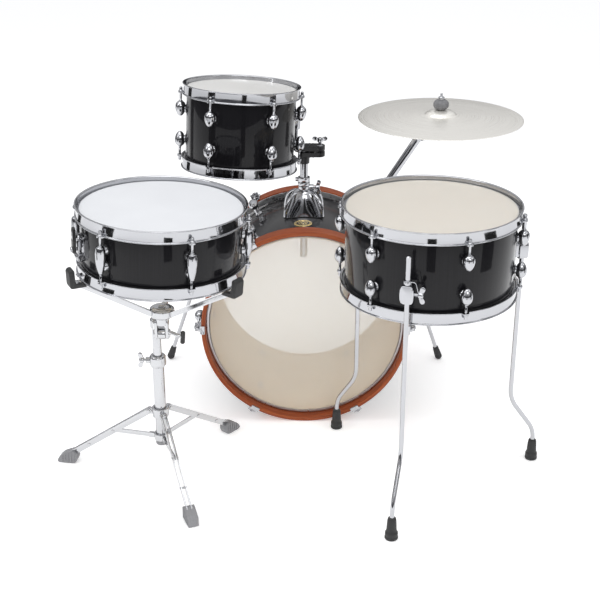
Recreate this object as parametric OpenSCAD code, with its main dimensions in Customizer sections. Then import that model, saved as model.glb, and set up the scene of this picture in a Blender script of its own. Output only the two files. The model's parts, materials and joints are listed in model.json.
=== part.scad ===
// Compact acoustic drum kit: bass drum, rack tom, floor tom, snare on a stand, and a cymbal.
// Millimetres, +Z up, floor at z = 0. The player sits on the -Y side.

/* [Bass drum] */
// Outer radius of the bass shell
bass_r = 228.5; // [226:0.5:230]
// Depth of the bass shell between its bearing edges
bass_depth = 305; // [300:1:310]
// Width of a wooden hoop along the drum's axis
bass_hoop_w = 38; // [36:1:40]
// Radial thickness of a wooden hoop
bass_hoop_t = 10; // [9:0.5:10.5]

/* [Rack tom] */
// Outer radius of the rack tom shell
tom_r = 126; // [124:0.5:127]
// Rack tom depth over its steel hoops
tom_depth = 194; // [188:1:200]

/* [Floor tom] */
// Outer radius of the floor tom shell
floor_r = 177; // [175:0.5:178]
// Floor tom depth over its steel hoops
floor_depth = 194; // [190:1:198]
// Height of the floor tom's upper hoop edge
floor_top = 644; // [640:1:648]

/* [Snare drum] */
// Outer radius of the snare shell
snare_r = 164; // [163:0.5:165]
// Snare depth over its steel hoops
snare_depth = 143; // [141:1:145]
// Height of the snare's upper hoop edge
snare_top = 659; // [656:1:662]
// Sideways tilt of the snare in degrees
snare_tilt = 2.6; // [2:0.1:3.2]

/* [Cymbal] */
// Radius of the cymbal
cymbal_r = 203; // [195:1:205]
// Height of the cymbal's bell above its edge
cymbal_rise = 21; // [20:0.5:22]

/* [Hidden] */
$fn = 72;

// Offset that puts the origin under the middle of the whole kit
kit_mid = [-15.96, -169.74];

// Clearances
run = 0.06;   // radial running fit
gap = 0.5;    // between a head's ring and its shell

// Shells, heads and steel hoops
wall = 6;
rim_above = 10;     // hoop edge above the bearing edge
film = 0.6;
ring_w = 3.9;
ring_top = 6;
ring_low = 13;
hoop_in = 4.8;
hoop_t = 2;
hoop_flange = 2.8;  // outward reach of the lower flange
hoop_roll = 2.7;    // outward reach of the rolled upper edge
hoop_low = 16;
flange_t = 2.3;
rod_off = 13;       // tension rod centre outside the shell
rod_r = 2.9;
bore_r = rod_r + 0.3;
lug_step = 60;
lug_drop = 52;      // single lug centre below the bearing edge
sixth = [0:5];
third = [0:2];

// Bass drum
bass_z = bass_r + 7.5 + bass_hoop_t;
bass_ring_w = 6.5;
bass_rod_off = 27.5;
bass_lug_drop = 64;
screw_gap = 0.13;   // lug screw washers bridge the shell's curve
hoop_behind = 14.5;
hoop_front = bass_hoop_w - hoop_behind;
claw_w = 22;
claw_t = 3;
badge_y = -66;
badge_r = 22;
rod_seat = 7;       // seat of a rod's washer above the bearing edge

// Wing bolts and hinge pins
wing_r = 3;
wing_gap = 0.4;     // a wing bolt's end to the tube that it presses on
boss_r = 7;
tilt_pin_r = 5;
spur_pin_r = 4;
lever_pin_r = 4;
leg_pin_r = 3;

// Tom holder
post_xy = [-3, 15];
tube_r = 9.5;
tube_bore = 7.5;
sleeve_r = 15;
sleeve_top = 552;
wing_z = 538;
ball_z = 630;
post_top = ball_z - 15;
ball_r = 10;
tom_reach = 160;
tom_turn = 19.5;
tom_lean = [-4.4, 3.1, 0];
tom_mid = 157.6 - tom_depth / 2;   // middle of the drum above the ball
tom_edge = tom_depth / 2 - rim_above;
tom_lug0 = -27 - tom_turn;
l_rod_top = 93;     // top of the upright rod above the ball
bracket_low = 51;
bracket_h = 34;
l_rod_r = 4.75;
l_rod_x = tom_r + 11;

// Cymbal holder
arm_y = 116;
stud_y = 134;
arm_foot = [146, arm_y, 422];
arm_angle = 32.2;
arm_len = 256;
arm_inside = 110;
arm_tip = arm_foot + arm_len * [sin(arm_angle), 0, cos(arm_angle)];
arm_wing = 38;      // height of the wing bolt up the sleeve
cym_x = 333;
cym_z = 678;
bell_r = 38;
bow_rise = 9;
cymbal_t = 1.2;
cymbal_radii = [6, 14, 21, 27, 32, 36, 38, 60, 90, 120, 150, 180, cymbal_r];
stud_r = 4;
stud_tip_r = 3;
stud_step = 53;     // top of the full stud above the cymbal's edge

// Spurs
spur_y = 112;
spur_z = 290;
spur_x = 268;
spur_foot = [366, 168];
spur_tip = atan2(spur_z, spur_foot.x - spur_x);
spur_run = [spur_foot.x - spur_x, spur_foot.y - spur_y, -spur_z];
spur_len = norm(spur_run);

// Floor tom
floor_xy = [259, -405];
floor_edge = floor_depth / 2 - rim_above;
floor_lug0 = 17;
leg0 = -17.5;
leg_r = 5;
elbow = 0.3;        // extra radius of a leg's bends
leg_radius = 207;
foot_radius = 270;
bracket_z = 524;
leg_top = 603;
bend_hi = 163;
bend_lo = 76;

// Snare
snare_xy = [-289, -450];
snare_edge = snare_depth / 2 - rim_above;
snare_lug0 = -35;
strainer_a = -65;
barrel = 57;
wire_z = -snare_edge - film - 1.4;

// Snare stand
stand_xy = [-322, -395];
leg_turn = 21;
base_r = 12.7;
base_low = 70;
base_top = 290;
stand_wing = base_top - 13;
collar_z = 150;
lower_z = 88;
pivot_r = 26;
strip_half = 6.5;   // half the width of a leg's strips
brace_at = 112;
brace_pin_r = 2;
foot_r = 228;
foot_z = 14;
foot_block = [20, 48, 29];
foot_toe = 20;      // a rubber foot beyond the end of its leg
leg_len = norm([foot_r - pivot_r, collar_z - foot_z]);
leg_drop = atan2(collar_z - foot_z, foot_r - pivot_r);
brace_z = collar_z - (brace_at - pivot_r) * tan(leg_drop);
brace_len = norm([brace_at - pivot_r, brace_z - lower_z]);
brace_rise = atan2(brace_z - lower_z, brace_at - pivot_r);
tilter_drop = 292;  // tilter below the snare's upper hoop edge
tilt_x = snare_xy.x - tilter_drop * sin(snare_tilt);
tilt_z = snare_top - tilter_drop * cos(snare_tilt);
hub_r = 26;
hub_h = 22;
hub_low = -tilter_drop + 40;
arm_low = [24, -tilter_drop + 52];
arm_high = [snare_r + 18, -snare_depth - 4];
basket_turn = 57;

module kit() translate([-kit_mid.x, -kit_mid.y, 0]) children();
module bass_frame() kit() translate([0, 0, bass_z]) rotate([90, 0, 0]) children();
module tom_frame() kit() translate([post_xy.x, post_xy.y, ball_z]) rotate(tom_lean)
    rotate([0, 0, tom_turn]) translate([-tom_reach, 0, 0]) children();
module tom_mid_frame() tom_frame() translate([0, 0, tom_mid]) children();
module floor_frame() kit() translate([floor_xy.x, floor_xy.y, floor_top - floor_depth / 2]) children();
module snare_frame() kit() translate([snare_xy.x, snare_xy.y, snare_top]) rotate([0, snare_tilt, 0])
    children();
module snare_mid_frame() snare_frame() translate([0, 0, -snare_depth / 2]) children();
module stand_frame() kit() translate([stand_xy.x, stand_xy.y, 0]) children();
// Puts children, built towards -Y, at an angle round the drum and at a radius
module round_at(a, r) rotate([0, 0, a]) translate([0, -r, 0]) children();
module both_ends() {
    children();
    mirror([0, 0, 1]) children();
}

// ---- Pieces shared by the drums ----
module pipe(r_out, r_in, h) difference() {
    cylinder(r = r_out, h = h);
    translate([0, 0, -1]) cylinder(r = r_in, h = h + 2);
}
module drum_shell(r, edge) translate([0, 0, -edge]) pipe(r, r - wall, 2 * edge);
// Head with its bearing edge at z = 0
module drum_head(r) rotate_extrude() polygon([[0, 0], [r + gap, 0], [r + gap, -ring_low],
    [r + gap + ring_w, -ring_low], [r + gap + ring_w, -ring_top], [r + gap + 0.8, -ring_top],
    [r + gap + 0.8, film], [0, film]]);
// Triple-flanged steel hoop with an ear at each rod
module drum_hoop(r, a0) {
    inner = r + hoop_in;
    outer = inner + hoop_t;
    rotate_extrude() polygon([[r + 1.8, -ring_top], [inner, -ring_top], [inner, -hoop_low],
        [outer + hoop_flange, -hoop_low], [outer + hoop_flange, flange_t - hoop_low],
        [outer, flange_t - hoop_low], [outer, rim_above - flange_t],
        [outer + hoop_roll, rim_above - flange_t], [outer + hoop_roll, rim_above],
        [inner, rim_above], [inner, 2 - ring_top], [r + 1.8, 2 - ring_top]]);
    for (i = sixth) round_at(a0 + i * lug_step, r + rod_off) translate([0, 0, -hoop_low])
        hoop_ear();
}
module hoop_ear() difference() {
    translate([-6, -5, 0]) cube([12, 10, flange_t]);
    translate([0, 0, -1]) cylinder(r = bore_r, h = flange_t + 2);
}
// Tension rod hanging from its ear at z = 0
module tension_rod(length) {
    cylinder(r = 5, h = 3);
    translate([0, 0, 3]) cylinder(r = 3.6, h = 6);
    translate([0, 0, -length]) cylinder(r = rod_r, h = length);
}
module rods(r, a0, edge, length) both_ends() for (i = sixth)
    round_at(a0 + i * lug_step, r + rod_off) translate([0, 0, edge - hoop_low + flange_t])
        tension_rod(length);
// Outline of an egg-shaped lug with the rod's bore down its middle, fattest nearer its top
function egg(r, h) = concat([[bore_r, -h / 2]],
    [for (t = [24:22:156]) [r * sin(t) * (1 - 0.16 * cos(t)), -h * cos(t) / 2]], [[bore_r, h / 2]]);
module lug_egg(r, off, h, width) {
    translate([0, -off, 0]) rotate_extrude() polygon(egg(width / 2, h));
    difference() {
        translate([-width / 4, bore_r + 1 - off, -h / 5]) cube([width / 2, off, 2 * h / 5]);
        translate([0, r, -h]) cylinder(r = r, h = 2 * h);
    }
}
module single_lugs(r, a0, off, z, h, width) both_ends() for (i = sixth)
    round_at(a0 + i * lug_step, r) translate([0, 0, z]) lug_egg(r, off, h, width);
// Wing bolt along +X
module wing_bolt(length) rotate([0, 90, 0]) {
    cylinder(r = wing_r, h = length);
    translate([0, 0, length]) cylinder(r = 6, h = 10);
    for (s = [-1, 1]) translate([s * 10, 2, length + 7]) rotate([90, 0, 0]) cylinder(r = 7, h = 4);
}
// Part of the bass shell's surface, thickened outwards, inside the children
module on_bass(t) intersection() {
    bass_frame() translate([0, 0, -bass_depth / 2]) pipe(bass_r + t, bass_r, bass_depth);
    children();
}
module outside_bass() difference() {
    children();
    bass_frame() translate([0, 0, -bass_depth / 2]) cylinder(r = bass_r, h = bass_depth);
}
module arm_frame() kit() translate(arm_foot) rotate([0, arm_angle, 0]) children();
module post_frame() kit() translate([post_xy.x, post_xy.y, 0]) children();

// ---- Bass drum ----
module bass_shell() color("#17171a") difference() {
    bass_frame() drum_shell(bass_r, bass_depth / 2);
    post_frame() translate([0, 0, bass_z]) cylinder(r = tube_r + 3, h = bass_r + 9);
    arm_frame() translate([0, 0, -60]) cylinder(r = tube_r + 3, h = 90);
}
module bass_head() rotate_extrude() polygon([[0, 0], [bass_r + gap, 0],
    [bass_r + gap, -hoop_behind - 2], [bass_r + 15, -hoop_behind - 2], [bass_r + 15, -hoop_behind],
    [bass_r + bass_ring_w, -hoop_behind], [bass_r + bass_ring_w, -2], [bass_r + 2, -2],
    [bass_r + 2, film], [0, film]]);
module bass_heads() color("#ded0b0") bass_frame() both_ends()
    translate([0, 0, bass_depth / 2]) bass_head();
module bass_hoops() color("#7c2c16") bass_frame() both_ends()
    translate([0, 0, bass_depth / 2 - hoop_behind])
        pipe(bass_z, bass_z - bass_hoop_t, bass_hoop_w);
module bass_lugs() color("silver") bass_frame()
    single_lugs(bass_r, lug_step / 2, bass_rod_off, bass_depth / 2 - bass_lug_drop, 36, 24);
module bass_lug_screws() color("gray") bass_frame() both_ends() for (i = sixth, s = [-1, 1])
    round_at(lug_step * (i + 0.5), bass_r - wall - screw_gap)
        translate([0, 0, bass_depth / 2 - bass_lug_drop + s * 8]) rotate([-90, 0, 0]) {
            cylinder(r = 7, h = 1.2);
            cylinder(r = 4, h = 4);
        }
module bass_claws() color("silver") bass_frame() both_ends() for (i = sixth)
    rotate([0, 0, lug_step * (i + 0.5)]) translate([0, 0, bass_depth / 2]) claw();
module claw() difference() {
    translate([claw_w / 2, 0, 0]) rotate([90, 0, -90]) linear_extrude(claw_w) polygon([
        [bass_z - 7, hoop_front], [bass_z, hoop_front], [bass_z, -hoop_behind],
        [bass_z + claw_t, -hoop_behind], [bass_z + claw_t, 4], [bass_r + bass_rod_off + 7, 4],
        [bass_r + bass_rod_off + 7, 8], [bass_z + claw_t, 14],
        [bass_z + claw_t, hoop_front + claw_t], [bass_z - 7, hoop_front + claw_t]]);
    translate([0, -bass_r - bass_rod_off, 3]) cylinder(r = bore_r, h = 20);
    translate([0, -bass_r - bass_rod_off, rod_seat]) cylinder(r = 5.6, h = 20);
}
module bass_tension_rods() color("gainsboro") bass_frame() both_ends() for (i = sixth)
    round_at(lug_step * (i + 0.5), bass_r + bass_rod_off) translate([0, 0, bass_depth / 2 + rod_seat])
        tension_rod(bass_lug_drop);
module bass_badge() color("goldenrod") on_bass(1.4) kit() translate([-5, badge_y, bass_z])
    cylinder(r = badge_r, h = bass_r + 20);

// ---- Tom holder on the bass drum ----
function rib(w, h) = concat([for (t = [0:15:90]) [w * cos(t), h * sin(t)]], [[0, 0]]);
module tom_holder_base() color("silver") difference() {
    union() {
        on_bass(4) post_frame() translate([-50, -41, bass_z]) cube([100, 82, bass_r + 10]);
        outside_bass() post_frame() translate([0, 0, bass_z + bass_r - 12]) {
            cylinder(r = sleeve_r, h = sleeve_top - bass_z - bass_r + 12);
            for (a = [40, 140, 220, 320]) rotate([0, 0, a]) translate([0, 3, 0])
                rotate([90, 0, 0]) linear_extrude(6) polygon(rib(57, 68));
        }
        post_frame() translate([0, 0, wing_z]) rotate([0, 90, 0]) cylinder(r = boss_r, h = 24);
    }
    post_frame() translate([0, 0, bass_z]) cylinder(r = tube_r + run, h = 400);
    post_frame() translate([0, 0, wing_z]) rotate([0, 90, 0]) cylinder(r = wing_r + run, h = 30);
}
module post_wing_bolt() color("gainsboro") post_frame() translate([tube_r + wing_gap, 0, wing_z])
    wing_bolt(20);
module tom_post() color("silver") post_frame() {
    translate([0, 0, 360]) pipe(tube_r, tube_bore, post_top - 360);
    translate([0, 0, sleeve_top + 0.3]) pipe(sleeve_r, tube_r, 12);
}
module ball_clamp() color("#1a1a1a") post_frame() difference() {
    union() {
        translate([0, 0, ball_z - 31]) cylinder(r = 13.5, h = 22);
        for (low = [-13, 2]) translate([-12, -17, ball_z + low]) cube([62, 34, 11]);
        translate([24, -17, ball_z - 5]) cube([8, 34, 10]);
        translate([38, 0, ball_z - 5]) cylinder(r = 4, h = 34);
        translate([38, 2, ball_z + 29]) for (s = [-1, 1]) translate([s * 7, 0, 0])
            rotate([90, 0, 0]) cylinder(r = 7, h = 4);
    }
    translate([0, 0, post_top - 40]) cylinder(r = tube_r + run, h = 40.4);
    translate([0, 0, ball_z]) sphere(r = ball_r + run);
    translate([0, 0, ball_z]) rotate([0, -90, tom_turn]) cylinder(r = l_rod_r + 3, h = 40);
}
module l_rod() color("gainsboro") tom_frame() {
    translate([tom_reach, 0, 0]) sphere(r = ball_r);
    translate([l_rod_x, 0, 0]) rotate([0, 90, 0]) cylinder(r = l_rod_r, h = tom_reach - l_rod_x);
    translate([l_rod_x, 0, 0]) sphere(r = l_rod_r);
    translate([l_rod_x, 0, 0]) cylinder(r = l_rod_r, h = l_rod_top);
}

// ---- Rack tom ----
module tom_shell() color("#17171a") tom_mid_frame() drum_shell(tom_r, tom_edge);
module tom_heads() color("#ece6d6") tom_mid_frame() both_ends() translate([0, 0, tom_edge])
    drum_head(tom_r);
module tom_hoops() color("silver") tom_mid_frame() both_ends() translate([0, 0, tom_edge])
    drum_hoop(tom_r, tom_lug0);
module tom_lugs() color("silver") tom_mid_frame()
    single_lugs(tom_r, tom_lug0, rod_off, tom_edge - lug_drop, 34, 26);
module tom_tension_rods() color("gainsboro") tom_mid_frame() rods(tom_r, tom_lug0, tom_edge, 34);
module tom_bracket() color("silver") tom_frame() difference() {
    union() {
        translate([tom_r - 8, -13, bracket_low]) cube([20, 26, bracket_h]);
        translate([l_rod_x, 0, bracket_low]) cylinder(r = 9, h = bracket_h);
        translate([l_rod_x, 0, bracket_low + bracket_h / 2 + 1]) rotate([90, 0, 0]) cylinder(r = 5, h = 24);
    }
    cylinder(r = tom_r, h = 130);
    translate([l_rod_x, 0, 0]) cylinder(r = l_rod_r, h = 130);
}

// ---- Cymbal and its arm ----
module cymbal_holder_base() color("silver") difference() {
    union() {
        on_bass(4) arm_frame() translate([-22, -18, -50]) cube([44, 36, 100]);
        outside_bass() arm_frame() translate([0, 0, -14]) cylinder(r = sleeve_r, h = 62);
        arm_frame() translate([0, 0, arm_wing]) rotate([0, 90, 0]) cylinder(r = boss_r, h = 22);
    }
    arm_frame() translate([0, 0, -60]) cylinder(r = tube_r + run, h = 160);
    arm_frame() translate([0, 0, arm_wing]) rotate([0, 90, 0]) cylinder(r = wing_r + run, h = 30);
}
module arm_wing_bolt() color("gainsboro") arm_frame() translate([tube_r + wing_gap, 0, arm_wing])
    wing_bolt(18);
module cymbal_arm() color("silver") difference() {
    arm_frame() {
        translate([0, 0, -arm_inside]) pipe(tube_r, tube_bore, arm_inside + arm_len - 8);
        translate([0, 10, arm_len]) rotate([90, 0, 0]) cylinder(r = 13, h = 20);
    }
    arm_frame() translate([0, 15, arm_len]) rotate([90, 0, 0]) cylinder(r = tilt_pin_r + run, h = 30);
}
module cymbal_tilter() color("silver") {
    arm_frame() translate([0, 17.5, arm_len]) rotate([90, 0, 0]) cylinder(r = tilt_pin_r, h = 35);
    for (y = [-15.4, 10.4]) {
        arm_frame() translate([0, y + 5, arm_len]) rotate([90, 0, 0]) cylinder(r = 12, h = 5);
        kit() translate([arm_tip.x, arm_y + y + 0.5, arm_tip.z - 7])
            cube([cym_x - arm_tip.x, 4, 14]);
    }
    kit() translate([cym_x, stud_y, 0]) {
        translate([-16, arm_y - stud_y - 17, arm_tip.z - 8]) cube([32, stud_y - arm_y + 29, 17]);
        translate([0, 0, arm_tip.z - 3]) cylinder(r = 8, h = cym_z + 6 - arm_tip.z);
        translate([0, 0, cym_z + 2]) cylinder(r = 14, h = 3.6);
        translate([0, 0, cym_z]) cylinder(r = stud_r, h = stud_step);
        translate([0, 0, cym_z]) cylinder(r = stud_tip_r, h = stud_step + 8);
    }
}
function cymbal_z(r) = r > bell_r
    ? bow_rise * (cymbal_r - r) / (cymbal_r - bell_r) * (1 + 0.3 * (r - bell_r) / cymbal_r)
    : bow_rise + (cymbal_rise - bow_rise) * sqrt(1 - pow(r / (bell_r + 0.01), 2));
module cymbal_frame() kit() translate([cym_x, stud_y, cym_z]) children();
module cymbal_felts() color("dimgray") cymbal_frame() {
    translate([0, 0, 6]) pipe(9, stud_r + run, cymbal_rise - 8.6);
    translate([0, 0, cymbal_rise + 0.4]) difference() {
        rotate_extrude() polygon([[0, 0], [12, 0], [19, 6], [19, 17], [13, 24], [0, 24]]);
        translate([0, 0, -1]) cylinder(r = stud_r + run, h = 30);
    }
}
module cymbal() color("#e6dcc0") cymbal_frame() rotate_extrude() polygon(concat(
    [for (r = cymbal_radii) [r, cymbal_z(r) - cymbal_t]],
    [for (i = [len(cymbal_radii) - 1:-1:0]) [cymbal_radii[i], cymbal_z(cymbal_radii[i])]]));
module cymbal_nut() color("gainsboro") cymbal_frame() translate([0, 0, cymbal_rise + 24.8])
    pipe(8, stud_r + run, 7);

// ---- Spurs ----
module spur_side(s) kit() translate([s * spur_x, spur_y, spur_z]) children();
// Hinge axis of a spur, square to the leg and pointing outwards
module spur_axis(s) spur_side(s) rotate([0, s * spur_tip, 0]) children();
module spur_brackets() color("silver") {
    for (s = [-1, 1]) {
        on_bass(4) spur_side(s) translate([-50, -20, -24]) cube([100, 40, 48]);
        outside_bass() spur_axis(s) translate([0, 0, -54]) cylinder(r = 11, h = 45);
        spur_axis(s) translate([0, 0, -9]) cylinder(r = spur_pin_r, h = 18);
    }
}
module spur(s) {
    lean = acos(spur_run.z / spur_len);
    swing = atan2(spur_run.y, s * spur_run.x);
    difference() {
        union() {
            spur_axis(s) translate([0, 0, -8.6]) cylinder(r = 11, h = 17.6);
            spur_side(s) rotate([0, lean, swing]) cylinder(r = 5, h = spur_len - 30);
        }
        spur_axis(s) translate([0, 0, -20]) cylinder(r = spur_pin_r + run, h = 40);
    }
    difference() {
        spur_side(s) rotate([0, lean, swing]) translate([0, 0, spur_len - 42])
            cylinder(r = 10, h = 50);
        kit() translate([s * spur_foot.x - 60, spur_foot.y - 60, -60]) cube([120, 120, 60]);
    }
}
module spur_left() color("gray") spur(-1);
module spur_right() color("gray") spur(1);

// ---- Floor tom ----
module floor_tom_shell() color("#17171a") floor_frame() drum_shell(floor_r, floor_edge);
module floor_tom_heads() color("#e2d7bd") floor_frame() both_ends() translate([0, 0, floor_edge])
    drum_head(floor_r);
module floor_tom_hoops() color("silver") floor_frame() both_ends() translate([0, 0, floor_edge])
    drum_hoop(floor_r, floor_lug0);
module floor_tom_lugs() color("silver") floor_frame()
    single_lugs(floor_r, floor_lug0, rod_off, floor_edge - lug_drop, 34, 26);
module floor_tom_tension_rods() color("gainsboro") floor_frame()
    rods(floor_r, floor_lug0, floor_edge, 34);
module floor_leg_frame(i) kit() translate([floor_xy.x, floor_xy.y, 0])
    rotate([0, 0, leg0 + i * 120]) children();
module floor_leg_brackets() color("silver") for (i = third) floor_leg_frame(i) difference() {
    union() {
        translate([-13, -leg_radius - 9, bracket_z - 19]) cube([26, leg_radius - floor_r + 12, 38]);
        translate([0, -leg_radius, bracket_z]) wing_bolt(24);
    }
    translate([0, 0, bracket_z - 30]) cylinder(r = floor_r, h = 60);
    translate([0, -leg_radius, bracket_z - 30]) cylinder(r = leg_r + run, h = 60);
}
module floor_leg(i) floor_leg_frame(i) {
    reach = foot_radius - leg_radius;
    slope = atan2(reach, bend_hi - bend_lo);
    translate([0, -leg_radius, bend_hi]) cylinder(r = leg_r, h = leg_top - bend_hi);
    translate([0, -leg_radius, bend_hi]) sphere(r = leg_r + elbow);
    translate([0, -leg_radius, bend_hi]) rotate([180 - slope, 0, 0])
        cylinder(r = leg_r, h = norm([reach, bend_hi - bend_lo]));
    translate([0, -foot_radius, bend_lo]) sphere(r = leg_r + elbow);
    translate([0, -foot_radius, 50]) cylinder(r = leg_r, h = bend_lo - 50);
    translate([0, -foot_radius, 0]) cylinder(r = 14, h = 18);
    translate([0, -foot_radius, 18]) cylinder(r1 = 13, r2 = 9, h = 32);
    translate([0, -leg_radius, bracket_z + 19.3]) cylinder(r = 9, h = 10);
}
module floor_leg_front() color("silver") floor_leg(0);
module floor_leg_right() color("silver") floor_leg(1);
module floor_leg_left() color("silver") floor_leg(2);

// ---- Snare drum ----
module snare_shell() color("#17171a") snare_mid_frame() drum_shell(snare_r, snare_edge);
module snare_batter_head() color("#f4f4f2") snare_mid_frame() translate([0, 0, snare_edge])
    drum_head(snare_r);
module snare_bottom_head() color("#e8e8e6") snare_mid_frame() mirror([0, 0, 1])
    translate([0, 0, snare_edge]) drum_head(snare_r);
// The lower hoop has a gate on each side, where the straps of the wires pass
module snare_hoops() color("silver") snare_mid_frame() {
    translate([0, 0, snare_edge]) drum_hoop(snare_r, snare_lug0);
    difference() {
        mirror([0, 0, 1]) translate([0, 0, snare_edge]) drum_hoop(snare_r, snare_lug0);
        round_at(strainer_a, 0) translate([-25, -220, -snare_edge - rim_above - 5])
            cube([50, 440, 13.4]);
    }
}
function barrel_outline(r, h) = concat([[0, -h / 2]],
    [for (t = [-90:15:90]) [r * (0.62 + 0.38 * cos(t)), h * t / 180]], [[0, h / 2]]);
module snare_lugs() color("silver") snare_mid_frame() for (i = sixth)
    round_at(snare_lug0 + i * lug_step, snare_r) difference() {
        union() {
            translate([0, -rod_off, 0]) rotate_extrude() polygon(barrel_outline(10, barrel));
            for (s = [-1, 1]) translate([-5, -rod_off, s * 18 - 5]) cube([10, rod_off + 1, 10]);
        }
        translate([0, -rod_off, -40]) cylinder(r = bore_r, h = 80);
        translate([0, snare_r, -40]) cylinder(r = snare_r, h = 80);
    }
module snare_tension_rods() color("gainsboro") snare_mid_frame()
    rods(snare_r, snare_lug0, snare_edge, 34);
// Throw-off on one side and butt plate opposite
module snare_strainer() color("silver") snare_mid_frame() {
    difference() {
        union() {
            round_at(strainer_a, snare_r) translate([-14, -14, -34]) cube([28, 17, 58]);
            round_at(strainer_a + 180, snare_r) translate([-15, -12, -34]) cube([30, 15, 40]);
        }
        translate([0, 0, -60]) cylinder(r = snare_r, h = 120);
    }
    round_at(strainer_a, snare_r + 14) translate([0, 0, -8]) rotate([90, 0, 0])
        cylinder(r = lever_pin_r, h = 12);
}
module strainer_lever() color("#202020") snare_mid_frame() round_at(strainer_a, snare_r + 14.4)
    difference() {
        translate([-8, -7, -16]) cube([16, 7, 62]);
        translate([0, 1, -8]) rotate([90, 0, 0]) cylinder(r = lever_pin_r + run, h = 20);
    }
module snare_wires() color("gainsboro") snare_mid_frame() rotate([0, 0, strainer_a]) {
    for (i = [-9:9]) translate([i * 2.2, 130, wire_z]) rotate([90, 0, 0]) cylinder(r = 0.9, h = 260);
    for (s = [-1, 1]) translate([-22, s * 136 - 8, wire_z - 0.5]) cube([44, 16, 1]);
    for (s = [-1, 1]) translate([-9, s * 162 - 20, wire_z - 0.3]) cube([18, 40, 0.6]);
}

// ---- Snare stand ----
module stand_base_tube() color("silver") stand_frame() {
    difference() {
        union() {
            translate([0, 0, base_low]) cylinder(r = base_r, h = base_top - base_low);
            translate([0, 0, base_top - 25]) cylinder(r = 18, h = 25);
            translate([0, 0, stand_wing]) rotate([0, -90, 0]) cylinder(r = boss_r, h = 26);
            translate([0, 0, lower_z - 8]) cylinder(r = 17, h = 16);
        }
        translate([0, 0, base_low + 6]) cylinder(r = tube_r + run, h = 400);
        translate([0, 0, stand_wing]) rotate([0, -90, 0]) cylinder(r = wing_r + run, h = 40);
    }
    for (i = third) rotate([0, 0, leg_turn + i * 120]) {
        for (s = [-1, 1]) translate([s * 2.5 - 0.7, -pivot_r - 5, lower_z - 6]) cube([1.4, 15, 12]);
        translate([-4.5, -pivot_r, lower_z]) rotate([0, 90, 0]) cylinder(r = brace_pin_r, h = 9);
    }
}
module stand_wing_bolt() color("gainsboro") stand_frame() translate([0, 0, stand_wing]) mirror([1, 0, 0])
    translate([tube_r + wing_gap, 0, 0]) wing_bolt(22);
module tilter_frame() kit() translate([tilt_x, snare_xy.y, tilt_z]) children();
module stand_post() color("silver") {
    stand_frame() translate([0, 0, 160]) cylinder(r = tube_r, h = tilt_z - 160);
    hull() {
        stand_frame() translate([0, 0, tilt_z - 12]) cylinder(r = 13, h = 24, $fn = 32);
        tilter_frame() translate([-8, 16, -12]) cube([16, 4, 24]);
    }
    tilter_frame() translate([-8, 0, -12]) cube([16, 18, 24]);
    tilter_frame() translate([-8, 0, 0]) rotate([0, 90, 0]) cylinder(r = 12, h = 16);
    tilter_frame() rotate([0, 90, 0]) translate([0, 0, -15]) cylinder(r = tilt_pin_r, h = 30);
}
module basket_hub() color("silver") {
    difference() {
        union() {
            tilter_frame() for (s = [-1, 1]) translate([s * 11.5 - 3, -12, -10]) cube([6, 24, 44]);
            snare_frame() translate([0, 0, -tilter_drop + 22]) cylinder(r = 15, h = 22);
            snare_frame() translate([0, 0, hub_low]) cylinder(r = hub_r, h = hub_h);
        }
        tilter_frame() rotate([0, 90, 0]) translate([0, 0, -30]) cylinder(r = tilt_pin_r + run, h = 60);
    }
}
module basket_arms() color("silver") snare_frame() for (i = third)
    rotate([0, 0, basket_turn + i * 120]) {
        rise = arm_high - arm_low;
        difference() {
            translate([-6, -arm_low.x, arm_low.y]) rotate([-atan2(rise.y, rise.x), 0, 0])
                translate([0, -norm(rise), -4]) cube([12, norm(rise), 8]);
            translate([0, 0, hub_low]) cylinder(r = hub_r, h = hub_h);
        }
        translate([-10, -arm_high.x - 14, arm_high.y - 7]) cube([20, 34, 10]);
        translate([-10, -arm_high.x - 14, arm_high.y]) cube([20, 10, 30]);
    }

// ---- Tripod ----
module tripod_frame(i) stand_frame() rotate([0, 0, leg_turn + i * 120]) children();
module tripod_collar() color("silver") stand_frame() difference() {
    union() {
        translate([0, 0, collar_z - 11]) cylinder(r = 19, h = 22);
        for (i = third) rotate([0, 0, leg_turn + i * 120]) {
            translate([-3.6, -pivot_r - 7, collar_z - 7]) cube([7.2, 18, 14]);
            translate([-7, -pivot_r, collar_z]) rotate([0, 90, 0]) cylinder(r = leg_pin_r, h = 14);
        }
    }
    translate([0, 0, collar_z - 20]) cylinder(r = base_r + run, h = 40);
}
// A leg's two strips, with their hinge at the origin and a round end there
module leg_strips() for (s = [-1, 1]) translate([s * 5 - 1, 0, 0]) {
    translate([0, 4 - leg_len, -strip_half]) cube([2, leg_len - 4, 2 * strip_half]);
    rotate([0, 90, 0]) cylinder(r = strip_half, h = 2);
}
module stand_leg(i) tripod_frame(i) {
    translate([0, -pivot_r, collar_z]) rotate([leg_drop, 0, 0]) difference() {
        leg_strips();
        rotate([0, 90, 0]) translate([0, 0, -10]) cylinder(r = leg_pin_r + run, h = 20);
    }
    difference() {
        translate([-foot_block.x / 2, -foot_r - foot_toe, 0]) cube(foot_block);
        translate([0, -pivot_r, collar_z]) rotate([leg_drop, 0, 0]) leg_strips();
    }
}
module stand_leg_1() color("lightgray") stand_leg(0);
module stand_leg_2() color("lightgray") stand_leg(1);
module stand_leg_3() color("lightgray") stand_leg(2);
module stand_brace(i) tripod_frame(i) translate([0, -pivot_r, lower_z])
    rotate([-brace_rise, 0, 0]) difference() {
        translate([-1.4, -brace_len - 5, -5]) cube([2.8, brace_len + 9, 10]);
        translate([-5, 0, 0]) rotate([0, 90, 0]) cylinder(r = brace_pin_r + run, h = 10);
    }
module stand_brace_1() color("lightgray") stand_brace(0);
module stand_brace_2() color("lightgray") stand_brace(1);
module stand_brace_3() color("lightgray") stand_brace(2);

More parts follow.
